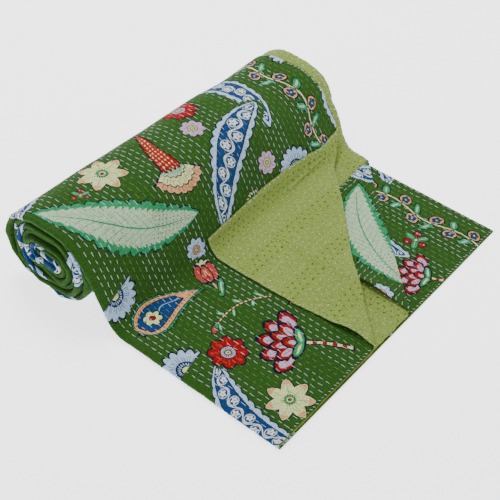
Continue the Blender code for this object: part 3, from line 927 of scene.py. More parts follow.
        self.fold(1, 12 if face else 5, rows)
        self.straight(Ply.BOTTOM, self.columns(Ply.BOTTOM, None), rows)
        self.fold(3, 8 if face else 4, rows)
        if face:
            fine = self.columns(Ply.THIRD, second_foot - self.third_before)
            self.straight(Ply.THIRD, fine, near)
            self.straight(Ply.THIRD, self.columns(Ply.THIRD, None), far)
        else:
            self.straight(Ply.THIRD, self.columns(Ply.THIRD, None), rows)
        self.fold(5, 4, rows)

        second = (self.columns(Ply.SECOND, None, self.medium) if face
                  else self.columns(Ply.SECOND, foot - self.second_before))
        second = np.unique(np.concatenate([second, [second_foot]]))
        self.cut_short(Ply.SECOND, form.second_corner, second, near)
        edge = self.columns(Ply.SECOND, None if face else self.edge_from, self.few)
        self.straight(Ply.SECOND, edge, outer)
        self.straight(Ply.SECOND, self.columns(Ply.SECOND, None, self.few), inner)
        self.turned(Ply.SECOND, form.second_corner, *((125, 60) if face else (50, 30)))
        return self.surface.build()


# ---- Thread --------------------------------------------------------------------------------------
@dataclass
class Stitches:
    """Straight stitches on the open quilt, each from (s0, v0) to (s1, v1) on one side of it."""

    s0: np.ndarray
    v0: np.ndarray
    s1: np.ndarray
    v1: np.ndarray
    side: np.ndarray
    white: np.ndarray
    width: np.ndarray

    def pick(self, chosen: np.ndarray) -> "Stitches":
        """The stitches that a mask chooses."""
        return Stitches(*(values[chosen] for values in vars(self).values()))

    @staticmethod
    def joined(several: Sequence["Stitches"]) -> "Stitches":
        """All the stitches of several sets."""
        return Stitches(*(np.concatenate(values) for values in zip(*(vars(one).values() for one in several))))


@dataclass
class Thread:
    """The running stitches in rows and the whip stitches along the hems."""

    form: QuiltForm
    width: float = 0.0010
    white_under: float = 0.0013      # width of the short stitches on the backing
    # painted shade: the olive stitches on the backing are this wide to take in the shade of the dimples round
    # them
    olive_shaded_under: float = 0.0025
    height: float = 0.0008
    share_up: float = 0.63           # share of each stitch's length that shows on the face
    share_down: float = 0.24         # and on the backing
    whip_gap: float = 0.0085         # from one whip stitch to the next
    whip_deep: float = 0.0055
    whip_slant: float = 0.0030
    whip_large: float = 1.6          # how much larger they are along the second ply's hems
    whip_out: float = 0.0009         # they start this far in from the hem
    uneven: float = 0.0011           # spread of the running stitches' ends
    uneven_aside: float = 0.35       # share of it that goes across the row
    uneven_near: float = 0.0008      # spread of the whip stitches along the hem
    uneven_deep: float = 0.0006      # and of their depth
    longer: float = 1.02             # running stitches are longer than their share by this factor
    outer_to: float = 0.97           # stitches show this far along on the outer plies
    flap_to: float = 0.45            # on the first turned corner
    third_to: float = 0.34
    second_to: float = 0.33
    from_end: float = 0.003          # whip stitches start this far from a corner
    first: float = 0.004             # running stitches start this far from the end hem
    off_bend: float = 0.002          # and no row of them lies nearer to a bend than this
    before_fold: float = 0.004       # running stitches stop this far before a corner's fold
    after_fold: float = 0.001        # and go on this far after it
    under_second: float = 0.012      # those under the second corner start this far before its fold
    under_top: float = 0.02          # and those under the top ply this far before its edges
    sunk: float = 0.0002             # thread lies this deep in the cloth
    sunk_ends: float = 0.0005        # and its ends deeper by this
    band: int = 8                    # rows in one band of white and one of olive thread
    white_rows: int = 5
    seed: int = 7

    def __post_init__(self) -> None:
        """Start the seeded source of unevenness."""
        self.chance = np.random.default_rng(self.seed)

    def is_white(self, row: np.ndarray) -> np.ndarray:
        """Whether rows are sewn in white thread: the first few of each band are."""
        return np.mod(row - 1, self.band) < self.white_rows

    def row_stitches(self, s: float, row: int, side: float, start: float, end: float) -> Stitches:
        """Stitches of one row on one side, between two ways along the quilt.

        Each is one beat of the row long, less a gap, and wanders a little.

        Args:
            s: the row, as a way across the open quilt.
            row: its number on the strip.
            side: 1 for the face, -1 for the backing.
            start: where the first stitch may begin.
            end: where the last one may end.

        Returns:
            The stitches.
        """
        beat = self.form.stitch
        phase = (self.form.stagger * row) % 1.0
        number = np.arange(math.floor(start / beat) - 1, math.ceil(end / beat) + 1)
        begin = (number - phase) * beat
        share = self.share_up if side > 0 else self.share_down
        begin = begin + (0.0 if side > 0 else (1.0 + self.share_up - self.share_down) / 2 * beat)
        jitter = self.chance.normal(0.0, self.uneven, (3, len(number)))
        v0 = begin + jitter[0]
        v1 = begin + share * beat * self.longer + jitter[1]
        aside = jitter[2] * self.uneven_aside
        keep = (v0 > start) & (v1 < end)
        size = int(keep.sum())
        white = bool(self.is_white(np.array(row)))
        # painted shade: olive stitches on the backing get the wider width, which stands for the shade of
        # their dimples
        width = self.width if side > 0 else self.white_under if white else self.olive_shaded_under
        return Stitches(s + aside[keep], v0[keep], s - aside[keep], v1[keep],
                        np.full(size, side), np.full(size, white), np.full(size, width))

    def ply_rows(self, ply: Ply, side: float, end: float) -> Stitches:
        """Stitches of all rows of one ply on one side, from the end hem to a way along the strip.

        Args:
            ply: the ply.
            side: 1 for the face, -1 for the backing.
            end: how far along they go.

        Returns:
            The stitches.
        """
        u = -CUT.half + (np.arange(CUT.rows) + 0.5) * CUT.row
        low, high = self.form.section.ends(ply)
        s = self.form.section.way(ply, u)
        sets = [self.row_stitches(float(at), row, side, self.first, end)
                for row, at in enumerate(s) if low + self.off_bend < at < high - self.off_bend]
        return Stitches.joined(sets)

    def visible(self) -> Stitches:
        """Running stitches wherever a row shows, on the face or on the backing.

        Returns:
            The stitches.
        """
        form = self.form
        top = self.ply_rows(Ply.TOP, 1.0, self.outer_to)
        top = top.pick(self.beyond(form.top_corner, top) < -self.before_fold)
        flap = self.ply_rows(Ply.TOP, -1.0, self.flap_to)
        flap = flap.pick(self.beyond(form.top_corner, flap) > self.after_fold)
        third = self.ply_rows(Ply.THIRD, 1.0, self.third_to)
        third = third.pick(self.beyond(form.second_corner, third) > -self.under_second)
        second = self.ply_rows(Ply.SECOND, 1.0, self.second_to)
        second = second.pick(self.beyond(form.second_corner, second) > self.after_fold)
        under = self.ply_rows(Ply.SECOND, -1.0, self.outer_to)
        u = form.section.across(under.s0)[0]
        shows = (self.beyond(form.top_corner, under) > -self.under_top) | (u > CUT.half - self.under_top)
        under = under.pick(shows & (self.beyond(form.second_corner, under) < -self.before_fold))
        return Stitches.joined([top, flap, third, second, under])

    def beyond(self, corner: Corner, stitches: Stitches) -> np.ndarray:
        """How far stitches lie beyond a corner's fold line."""
        u = self.form.section.across(stitches.s0)[0]
        return corner.beyond(u, (stitches.v0 + stitches.v1) / 2)

    def whip(self, along_v: bool, at: float, inward: float, start: float, end: float, side: float,
             size: float = 1.0) -> Stitches:
        """Slanted stitches that bind one stretch of hem.

        Args:
            along_v: whether the hem runs along the quilt, and not across it.
            at: s of the hem, or v where it runs across.
            inward: 1 or -1, the way from the hem into the cloth.
            start: where the stretch begins, in the other coordinate.
            end: where it ends.
            side: side of the cloth that shows.
            size: how much longer and further apart the stitches are than usual.

        Returns:
            The stitches.
        """
        near = np.arange(start, end, self.whip_gap * size)
        near = near + self.chance.normal(0.0, self.uneven_near, near.shape)
        far = near + self.whip_slant * size
        hem = np.full(near.shape, at + inward * self.whip_out)
        deep = at + inward * (self.whip_deep * size + self.chance.normal(0.0, self.uneven_deep, near.shape))
        ends = (hem, near, deep, far) if along_v else (near, hem, far, deep)
        return Stitches(*ends, np.full(near.shape, side), np.full(near.shape, True),
                        np.full(near.shape, self.width))

    def hems(self) -> Stitches:
        """Whip stitches along every hem that shows.

        Returns:
            The stitches.
        """
        form = self.form
        whole, starts = form.section.whole, form.section.starts
        top, under, gap, large = form.top_corner, form.second_corner, self.from_end, self.whip_large
        fold, third = float(starts[1]), float(starts[4])
        return Stitches.joined([
            self.whip(True, 0.0, 1.0, gap, top.along, -1.0),
            self.whip(False, 0.0, 1.0, gap, top.aside, -1.0),
            self.whip(True, 0.0, 1.0, top.along, self.outer_to, 1.0),
            self.whip(False, 0.0, 1.0, top.aside + gap, fold, 1.0),
            self.whip(True, whole, -1.0, gap, under.along, 1.0, large),
            self.whip(False, 0.0, 1.0, whole - under.aside, whole - gap, 1.0, large),
            self.whip(True, whole, -1.0, under.along, self.outer_to, -1.0, large),
            self.whip(False, 0.0, 1.0, third, third + under.aside + self.under_top, 1.0),
        ])

    def build(self, name: str, stitches: Stitches) -> bpy.types.Object:
        """Make the stitches as one mesh, each a low rounded bar that dips into the cloth at both ends.

        Along a stitch, t runs from 0 to 1. The half-width is width / 2 * (1 - (2t - 1)^4)^(1/2). Across
        it, the surface is half an ellipse.

        Args:
            name: the piece's name.
            stitches: the stitches.

        Returns:
            The object.
        """
        t = np.array([0.0, 0.08, 0.3, 0.7, 0.92, 1.0])[None, :, None]
        round_bar = np.linspace(0.0, math.pi, 5)[None, None, :]
        run_s = (stitches.s1 - stitches.s0)[:, None, None]
        run_v = (stitches.v1 - stitches.v0)[:, None, None]
        size = np.hypot(run_s, run_v)
        swell = np.sqrt(1.0 - np.abs(2 * t - 1) ** 4)
        aside = np.cos(round_bar) * stitches.width[:, None, None] / 2 * swell
        side = stitches.side[:, None, None]
        s = stitches.s0[:, None, None] + run_s * t - aside * run_v / size
        v = stitches.v0[:, None, None] + run_v * t + aside * run_s / size
        s = np.clip(s, self.sunk, self.form.section.whole - self.sunk)
        middle_s = np.broadcast_to(stitches.s0[:, None, None] + run_s * t, s.shape)
        middle_v = np.broadcast_to(stitches.v0[:, None, None] + run_v * t, s.shape)
        cloth = np.abs(self.form.outside(middle_s, middle_v, 1.0))
        ends = np.abs(2 * t - 1) > 0.99
        lift = np.sin(round_bar) * self.height * swell - self.sunk - self.sunk_ends * ends
        points = self.form.place(s, np.maximum(v, self.sunk), side * (cloth + lift))
        count, stations, around = s.shape
        quads = grid_corners((stations, around), False)
        every = (quads[None] + (np.arange(count) * stations * around)[:, None, None])
        faces = np.concatenate([every[stitches.side > 0].reshape(-1, 4),
                                every[stitches.side < 0].reshape(-1, 4)[:, ::-1]])
        ways = np.stack([np.broadcast_to(t * size, s.shape), np.broadcast_to(round_bar, s.shape)], axis=-1)
        ways = ways.reshape(-1, 2)[faces.reshape(-1)]
        return smooth_piece(name, points.reshape(-1, 3), faces.tolist(), "thread", ways)


# ---- Dyes ----------------------------------------------------------------------------------------
def dye(red: int, green: int, blue: int) -> Colour:
    """The linear colour of three screen values from 0 to 255, by the sRGB curve."""
    parts = [x / 255 for x in (red, green, blue)]
    return (*(x / 12.92 if x <= 0.04045 else ((x + 0.055) / 1.055) ** 2.4 for x in parts), 1.0)


class Dye(Enum):
    """The print's colours."""

    GROUND = dye(41, 79, 22)
    OUTLINE = dye(10, 16, 32)
    MINT = dye(40, 136, 88)
    SAGE = dye(168, 194, 158)
    BLUE = dye(14, 58, 108)
    SKY = dye(166, 192, 220)
    WHITE = dye(214, 222, 222)
    RED = dye(146, 4, 14)
    CORAL = dye(176, 66, 56)
    CREAM = dye(206, 214, 146)
    PEACH = dye(208, 152, 104)
    LILAC = dye(188, 160, 188)


# ---- Drawing with nodes --------------------------------------------------------------------------
class Field:
    """A number that varies over a surface: one output of a node tree, with ordinary arithmetic."""

    def __init__(self, tree: bpy.types.NodeTree, socket: bpy.types.NodeSocket) -> None:
        """Keep the tree and the output."""
        self.tree = tree
        self.socket = socket

    def math(self, operation: str, *others: "Field | float", clamp: bool = False) -> "Field":
        """A Math node on this number.

        Args:
            operation: the node's operation.
            others: its further inputs.
            clamp: whether the result stays between 0 and 1.

        Returns:
            The result.
        """
        node = self.tree.nodes.new("ShaderNodeMath")
        node.operation = operation
        node.use_clamp = clamp
        self.tree.links.new(self.socket, node.inputs[0])
        for place, value in enumerate(others, 1):
            if isinstance(value, Field):
                self.tree.links.new(value.socket, node.inputs[place])
            else:
                node.inputs[place].default_value = value
        return Field(self.tree, node.outputs[0])

    def __add__(self, other: "Field | float") -> "Field":
        """This plus another."""
        return self.math("ADD", other)

    def __sub__(self, other: "Field | float") -> "Field":
        """This less another."""
        return self.math("SUBTRACT", other)

    def __rsub__(self, other: float) -> "Field":
        """A number less this."""
        return self.math("MULTIPLY_ADD", -1.0, other)

    def __mul__(self, other: "Field | float") -> "Field":
        """This times another."""
        return self.math("MULTIPLY", other)

    def __truediv__(self, other: "Field | float") -> "Field":
        """This divided by another."""
        return self.math("DIVIDE", other)

    def __pow__(self, power: float) -> "Field":
        """This to a power; it isn't below 0."""
        return self.math("POWER", power)

    def __abs__(self) -> "Field":
        """This without its sign."""
        return self.math("ABSOLUTE")

    def sin(self) -> "Field":
        """Sine, in radians."""
        return self.math("SINE")

    def cos(self) -> "Field":
        """Cosine, in radians."""
        return self.math("COSINE")

    def least(self, other: "Field | float") -> "Field":
        """The lesser of two: as distances, both shapes together."""
        return self.math("MINIMUM", other)

    def most(self, other: "Field | float") -> "Field":
        """The greater of two: as distances, only where both shapes are."""
        return self.math("MAXIMUM", other)

    def repeat(self, period: float) -> "Field":
        """Distance from the middle of a stretch that repeats: (this modulo period) - period / 2."""
        return self.math("FLOORED_MODULO", period) - period / 2

    def bumps(self, period: float) -> "Field":
        """Round bumps from 0 to 1, one in each period: |sin(pi * this / period)|."""
        return abs((self * (math.pi / period)).sin())


def set_inputs(tree: bpy.types.NodeTree, node: bpy.types.Node, **inputs: object) -> None:
    """Link or set a node's inputs.

    Args:
        tree: the node's tree.
        node: the node.
        inputs: by the input's name with _ for a space, an output or a field to link, or a value to set.
    """
    for name, value in inputs.items():
        place = node.inputs[name.replace("_", " ")]
        source = value.socket if isinstance(value, Field) else value
        if isinstance(source, bpy.types.NodeSocket):
            tree.links.new(source, place)
        else:
            place.default_value = source


def add_node(tree: bpy.types.NodeTree, kind: str, **inputs: object) -> bpy.types.Node:
    """A new shader node.

    Args:
        tree: the tree that gets it.
        kind: its kind, without "ShaderNode".
        inputs: as for set_inputs().

    Returns:
        The node.
    """
    node = tree.nodes.new("ShaderNode" + kind)
    set_inputs(tree, node, **inputs)
    return node


def uv_map(tree: bpy.types.NodeTree, name: str) -> bpy.types.NodeSocket:
    """A new node that reads a UV map.

    Args:
        tree: the tree that gets it.
        name: the map's name.

    Returns:
        The node's output.
    """
    node = add_node(tree, "UVMap")
    node.uv_map = name
    return node.outputs[0]


def two_parts(tree: bpy.types.NodeTree, vector: bpy.types.NodeSocket) -> list[Field]:
    """The first two parts of a vector."""
    split = add_node(tree, "SeparateXYZ", Vector=vector)
    return [Field(tree, split.outputs[k]) for k in range(2)]


def new_finish(name: str,
               **inputs: object) -> tuple[bpy.types.Material, bpy.types.NodeTree, bpy.types.Node]:
    """A new material.

    Args:
        name: its name.
        inputs: its shader's inputs, as for set_inputs().

    Returns:
        The material, its node tree and its shader.
    """
    material = bpy.data.materials.new(name)
    material.use_nodes = True
    shader = material.node_tree.nodes["Principled BSDF"]
    set_inputs(material.node_tree, shader, **inputs)
    return material, material.node_tree, shader


def shaded(tree: bpy.types.NodeTree, colour: Colour | bpy.types.NodeSocket,
           shade: Field) -> bpy.types.NodeSocket:
    """A colour made lighter or darker from place to place.

    Args:
        tree: the tree that gets the node.
        colour: the colour, or an output that gives it.
        shade: the factor.

    Returns:
        The shaded colour's output.
    """
    scale = tree.nodes.new("ShaderNodeVectorMath")
    scale.operation = "SCALE"
    source = colour if isinstance(colour, bpy.types.NodeSocket) else colour[:3]
    set_inputs(tree, scale, Vector=source, Scale=shade)
    return scale.outputs[0]


def length(x: Field, y: Field) -> Field:
    """Distance from the origin."""
    return (x * x + y * y).math("SQRT")


def oval(x: Field, y: Field, across: float, along: float) -> Field:
    """Distance from an ellipse, nearly: (|(x / across, y / along)| - 1) times the smaller half axis."""
    return (length(x / across, y / along) - 1.0) * min(across, along)


def leaf(x: Field, y: Field, low: float, high: float, half: "Field | float", blunt: float = 0.5) -> Field:
    """Distance from a leaf that points along y.

    Args:
        x: across the leaf.
        y: along it.
        low: y of its foot.
        high: y of its tip.
        half: half its width at its widest.
        blunt: power of its outline, smaller for rounder ends.

    Returns:
        |x| - half * (4t(1 - t))^blunt, with t from 0 at the foot to 1 at the tip.
    """
    t = (y * (1.0 / (high - low))).math("ADD", -low / (high - low), clamp=True)
    swell = (t * (t * -4.0 + 4.0)) ** blunt
    return (abs(x) - swell * half).most(abs(y - (low + high) / 2) - (high - low) / 2)


def around(x: Field, y: Field, count: int, turn: float = 0.0) -> tuple[Field, Field, Field, Field]:
    """Fold the plane into equal sectors about the origin, the first one along +y.

    Args:
        x: across.
        y: along.
        count: number of sectors.
        turn: radians that the sectors are turned by.

    Returns:
        Across and along each sector's middle line, the distance from the origin, and the angle.
    """
    reach = length(x, y)
    angle = x.math("ARCTAN2", y)
    size = 2 * math.pi / count
    folded = (angle + (size / 2 - turn)).repeat(size)
    return reach * folded.sin(), reach * folded.cos(), reach, angle


class Brush:
    """Paints shapes over each other in a material's node tree. Its lengths are in millimetres."""

    def __init__(self, tree: bpy.types.NodeTree, ground: Colour, soft: float = 0.5, pen: float = 2.5) -> None:
        """Start with the ground's colour.

        Args:
            tree: the material's node tree.
            ground: the colour under the first shape.
            soft: width of a shape's edge, from nothing to full colour.
            pen: usual width of an outline.
        """
        self.tree = tree
        self.soft = soft
        self.pen = pen
        self.ground = ground
        self.colour: bpy.types.NodeSocket | None = None

    def place(self, wobble: float = 3.0) -> tuple[Field, Field]:
        """The motif's own coordinates, moved a little to and fro as a hand-drawn line is.

        Args:
            wobble: strength of the noise that moves them.

        Returns:
            x and y.
        """
        ways = uv_map(self.tree, "motif")
        noise = add_node(self.tree, "TexNoise", Vector=ways, Scale=55.0, Detail=2.0)
        found = two_parts(self.tree, ways), two_parts(self.tree, noise.outputs["Color"])
        x, y = (way.math("MULTIPLY_ADD", 1 / MM, moved * wobble - wobble / 2) for way, moved in zip(*found))
        return x, y

    def cover(self, distance: Field, colour: Dye) -> None:
        """Colour a shape.

        Args:
            distance: millimetres outside the shape, below 0 inside it.
            colour: its colour.
        """
        mix = self.tree.nodes.new("ShaderNodeMix")
        mix.data_type = "RGBA"
        inside = distance.math("MULTIPLY_ADD", -1.0 / self.soft, 0.5, clamp=True)
        self.tree.links.new(inside.socket, mix.inputs[0])
        if self.colour is None:
            mix.inputs[6].default_value = self.ground
        else:
            self.tree.links.new(self.colour, mix.inputs[6])
        mix.inputs[7].default_value = colour.value
        self.colour = mix.outputs[2]

    def paint(self, distance: Field, colour: Dye, line: float = 1.0) -> None:
        """Colour a shape and draw its dark outline outside it, `line` times as heavy as usual."""
        self.cover(distance - line * self.pen, Dye.OUTLINE)
        self.cover(distance, colour)


# ---- Motifs --------------------------------------------------------------------------------------
@dataclass(frozen=True)
class Motif(ABC):
    """One motif of the print, in millimetres about its own origin, pointing along +y."""

    wide: float                      # its ground reaches so far to either side of its middle line
    low: float                       # and from this y
    high: float                      # to this one
    bend: float = 0.0                # its middle line is x = bend * y^2
    corners: float = 2.0             # 2 for a round ground, more for fuller corners

    @property
    def name(self) -> str:
        """Name of its material."""
        return "printed_" + type(self).__name__.lower()

    def covers(self, x: np.ndarray, y: np.ndarray) -> np.ndarray:
        """Whether points lie on the motif's own ground: |x / wide|^corners + |y / tall|^corners < 1.

        Args:
            x: millimetres across, from its origin.
            y: millimetres along.

        Returns:
            A mask of the points.
        """
        aside = np.abs(x - self.bend * y ** 2) / self.wide
        beyond = np.abs(y - (self.high + self.low) / 2) / ((self.high - self.low) / 2)
        return aside ** self.corners + beyond ** self.corners < 1.0

    def straighten(self, x: Field, y: Field) -> Field:
        """Distance across from the bent middle line."""
        return x - y * y * self.bend if self.bend else x

    @abstractmethod
    def draw(self, brush: Brush, x: Field, y: Field) -> None:
        """Paint the motif.

        Args:
            brush: what paints it.
            x: millimetres across, from its origin.
            y: millimetres along.
        """


@dataclass(frozen=True)
class BlueLeaf(Motif):
    """A long leaf with a pale scalloped border and a white trailing stem with small flowers in it."""

    wide: float = 46.0
    low: float = -140.0
    high: float = 140.0
    bend: float = 0.0024
    half: float = 30.0

    def draw(self, brush: Brush, x: Field, y: Field) -> None:
        """Paint the border, the leaf, then the stem: x = 8 sin(2 pi y / 52).

        Args:
            brush: what paints it.
            x: millimetres across, from its origin.
            y: millimetres along.
        """
        x = self.straighten(x, y)
        brush.paint(leaf(x, y, -132.0, 132.0, y.bumps(22.0) * 5.0 + self.half, 0.65), Dye.SKY)
        inner = leaf(x, y, -122.0, 126.0, self.half - 8.0, 0.65)
        brush.paint(inner, Dye.BLUE, 0.7)
        wave = (y * (2 * math.pi / 52.0)).sin()
        stem = abs(x - wave * 8.0) - 1.5
        brush.cover(stem.most(inner + 1.5), Dye.WHITE)
        side = x * wave.math("SIGN")
        beside = y.repeat(26.0)
        px, py, reach, _ = around(side + 7.0, beside, 5)
        petals = oval(px, py - 4.2, 2.6, 3.8)
        curl = abs(oval(side + 6.0, beside, 11.0, 9.5)) - 0.8
        brush.cover(petals.least(curl).most(inner + 1.0), Dye.WHITE)
        brush.cover((reach - 1.4).most(inner + 1.0), Dye.BLUE)


@dataclass(frozen=True)
class Plume(Motif):
    """A broad curling leaf, pale, with a lobed green border, veins, and dots towards its foot."""

    wide: float = 62.0
    low: float = -166.0
    high: float = 166.0
    bend: float = -0.0017
    half: float = 40.0

    def draw(self, brush: Brush, x: Field, y: Field) -> None:
        """Paint the border with lobes of two sizes, then the leaf and its veins along y - 1.2|x|.

        Args:
            brush: what paints it.
            x: millimetres across, from its origin.
            y: millimetres along.
        """
        x = self.straighten(x, y)
        aside = abs(x)
        lobes = (y - aside * 0.5).bumps(25.0) * 9.0 + (y + 6.0).bumps(15.0) * 3.0
        brush.paint(leaf(x, y, -158.0, 158.0, lobes + self.half, 0.75), Dye.MINT)
        teeth = (y + aside * 0.9).bumps(12.0) * 7.0
        inner = leaf(x, y, -154.0, 150.0, teeth + (self.half - 10.0), 0.75)
        brush.cover(inner, Dye.SAGE)
        brush.cover(leaf(x, y, -140.0, 136.0, 1.6), Dye.MINT)
        veins = abs((y - aside * 1.2).repeat(17.0)) - 0.7
        brush.cover(veins.most(inner + 7.0).most(y * -1.0 - 52.0).most(aside * -1.0 + 2.0), Dye.MINT)
        spots = length(x.repeat(8.5), (y + 2.0).repeat(8.5)) - 1.25
        brush.cover(spots.most(inner + 4.0).most(y + 54.0), Dye.OUTLINE)


@dataclass(frozen=True)
class Rosette(Motif):
    """A round flower of eight petals."""

    wide: float = 43.0
    low: float = -43.0
    high: float = 43.0
    petals: Dye = Dye.RED
    streaks: Dye = Dye.CORAL
    ring: Dye = Dye.LILAC

    @property
    def name(self) -> str:
        """Name of its material, with its petals' colour."""
        return f"printed_rosette_{self.petals.name.lower()}"

    def draw(self, brush: Brush, x: Field, y: Field) -> None:
        """Paint eight ovals about a pale ring with sixteen ticks and a round heart.

        Args:
            brush: what paints it.
            x: millimetres across, from its origin.
            y: millimetres along.
        """
        px, py, reach, _ = around(x, y, 8)
        petal = oval(px, py - 24.5, 10.8, 14.0)
        brush.paint(petal, self.petals, 1.1)
        brush.cover((abs(px) - 0.7).most(abs(py - 25.0) - 7.0), self.streaks)
        brush.paint(reach - 14.0, self.ring, 0.9)
        tick, _, _, _ = around(x, y, 16)
        brush.cover((abs(tick) - 0.6).most(abs(reach - 9.5) - 3.0), Dye.OUTLINE)
        brush.paint(reach - 5.0, Dye.CREAM, 0.9)
        brush.cover(reach - 2.0, Dye.OUTLINE)


@dataclass(frozen=True)
class Carnation(Motif):
    """A ruffled fan of petals in a long red cup with rows of dots."""

    wide: float = 62.0
    low: float = -112.0
    high: float = 68.0
    bend: float = 0.0016
    corners: float = 5.0

    def draw(self, brush: Brush, x: Field, y: Field) -> None:
        """Paint three arcs of petals, smaller and smaller, then the cup, which widens as t^0.8.

        Args:
            brush: what paints it.
            x: millimetres across, from its origin.
            y: millimetres along.
        """
        x = self.straighten(x, y)
        _, _, reach, angle = around(x, y, 2)
        edge = (abs(angle) - 1.02) * 34.0
        for size, ruffle, gap, colour in ((56.0, 4.0, 0.24, Dye.PEACH), (43.0, 4.0, 0.29, Dye.CREAM),
                                          (27.0, 3.0, 0.34, Dye.SAGE)):
            arc = reach - angle.bumps(gap) * ruffle - size
            brush.paint(arc.most(edge), colour, 0.9)
            streak = abs((angle + 0.07).repeat(0.14)) * reach - 0.45
            brush.cover(streak.most(arc + 3.0).most(size - 9.0 - reach).most(edge + 2.0), Dye.OUTLINE)
        t = (y * (1 / 116.0)).math("ADD", 104.0 / 116.0, clamp=True)
        sides = (abs(x) - t ** 0.8 * 19.0).most(y * -1.0 - 104.0)
        cup = sides.most(y - x.bumps(9.5) * 6.0 - 10.0)
        brush.paint(cup, Dye.RED, 1.1)
        stripes = abs(x.math("DIVIDE", t + 0.15).repeat(7.0)) * (t + 0.15) - 0.6
        brush.cover(stripes.most(cup + 1.5), Dye.CORAL)
        dots = oval(x.repeat(7.0), (y + x * 0.2).repeat(9.0), 1.5, 2.1)
        brush.cover(dots.most(cup + 2.2), Dye.CREAM)


@dataclass(frozen=True)
class Lotus(Motif):
    """A cupped flower of red-rimmed lilac petals on a striped stem."""

    wide: float = 70.0
    low: float = -86.0
    high: float = 72.0
    corners: float = 2.6

    def draw(self, brush: Brush, x: Field, y: Field) -> None:
        """Paint the stem, five back petals, four front ones between them, the heart and the sepals.

        Args:
            brush: what paints it.
            x: millimetres across, from its origin.
            y: millimetres along.
        """
        stem = (abs(x - (y * 0.045).sin() * 4.0) - 2.6).most(abs(y + 42.0) - 38.0)
        brush.paint(stem, Dye.CREAM, 0.9)
        brush.cover(stem.most(abs(y.repeat(15.0)) - 3.6), Dye.RED)
        for count, turn, far, half, tall, limit in ((12, 0.0, 38.0, 12.5, 25.0, 1.31),
                                                    (12, math.pi / 12, 27.0, 9.0, 18.0, 1.05)):
            px, py, _, angle = around(x, y + 4.0, count, turn)
            edge = (abs(angle) - limit) * 60.0
            petal = oval(px, py - far, half, tall).most(edge)
            brush.paint(petal, Dye.RED, 1.1)
            brush.cover(oval(px, py - far + 1.5, half - 3.6, tall - 5.0).most(edge), Dye.LILAC)
            brush.cover((abs(px) - 0.6).most(abs(py - far) - 9.0).most(edge), Dye.RED)
        brush.paint(oval(x, y - 9.0, 9.5, 14.5), Dye.RED)
        brush.cover(oval(x, y - 7.0, 4.5, 9.0), Dye.LILAC)
        sepals = oval(abs(x) - 12.0, y + 3.0 - abs(x) * 0.25, 15.0, 6.5)
        brush.paint(sepals, Dye.MINT)
        brush.cover(oval(abs(x) - 12.0, y + 3.5 - abs(x) * 0.25, 10.0, 2.2), Dye.CREAM)


@dataclass(frozen=True)
class Tulip(Motif):
    """A closed flower with a pale crown, on a stem with two leaves."""

    wide: float = 34.0
    low: float = -64.0
    high: float = 54.0
    corners: float = 4.0

    def draw(self, brush: Brush, x: Field, y: Field) -> None:
        """Paint the stem and leaves, the crown, the two outer petals and the middle one with streaks.

        Args:
            brush: what paints it.
            x: millimetres across, from its origin.
            y: millimetres along.
        """
        aside = abs(x)
        brush.paint((aside - 1.9).most(abs(y + 36.0) - 24.0), Dye.PEACH, 0.8)
        foliage = leaf(aside - (y + 58.0) * 0.42, y, -58.0, -14.0, 6.0)
        brush.paint(foliage, Dye.MINT, 0.9)
        brush.cover(foliage + 4.2, Dye.CREAM)
        brush.paint(oval(x, y - 36.0, 6.0, 10.0).least(oval(aside - 11.0, y - 33.0, 6.5, 9.0)), Dye.CREAM)
        brush.paint(oval(aside - 11.0 - (y + 8.0) * 0.08, y - 11.0, 10.5, 23.0), Dye.CORAL)
        middle = oval(x, y - 8.0, 9.5, 22.0)
        brush.paint(middle, Dye.CORAL, 0.9)
        brush.cover((abs(x.repeat(5.0)) - 0.6).most(middle + 2.6).most(y - 20.0), Dye.CREAM)
        brush.cover(oval(x, y + 2.0, 3.2, 7.0), Dye.RED)


@dataclass(frozen=True)
class Paisley(Motif):
    """A hooked drop with a scalloped green edge, a dotted band and a flower in its blue middle."""

    wide: float = 50.0
    low: float = -50.0
    high: float = 108.0
    bend: float = 0.0058
    corners: float = 3.0

    def draw(self, brush: Brush, x: Field, y: Field) -> None:
        """Paint drops inside each other, of half-width 92 sqrt(t)(1 - t), then dots and the flower.

        Args:
            brush: what paints it.
            x: millimetres across, from its origin.
            y: millimetres along.
        """
        above = y.most(0.0)
        x = x - above * above * self.bend
        t = (y * (1 / 132.0)).math("ADD", 38.0 / 132.0, clamp=True)
        half = t ** 0.5 * (t * -92.0 + 92.0)
        drop = (abs(x) - half).most(abs(y - 27.0) - 66.0)
        _, _, _, angle = around(x, y, 2)
        brush.paint(drop - 2.5 - angle.bumps(0.22) * 3.0, Dye.MINT)
        brush.paint(drop, Dye.PEACH, 0.8)
        dots = length(abs(x) - half + 5.0, y.repeat(8.0)) - 1.3
        brush.cover(dots.most(drop + 2.0), Dye.OUTLINE)
        inner = (drop + 10.0).most(y - 62.0).most(y * -1.0 - 29.0)
        brush.paint(inner, Dye.BLUE, 0.9)
        brush.cover((abs(x - (y * 0.14).sin() * 4.0) - 0.9).most(inner + 1.6).most(y * -1.0 + 18.0), Dye.SKY)
        px, py, reach, _ = around(x, y, 6)
        brush.paint(oval(px, py - 10.5, 5.6, 7.0), Dye.CREAM, 0.8)
        brush.paint(reach - 4.6, Dye.RED, 0.8)


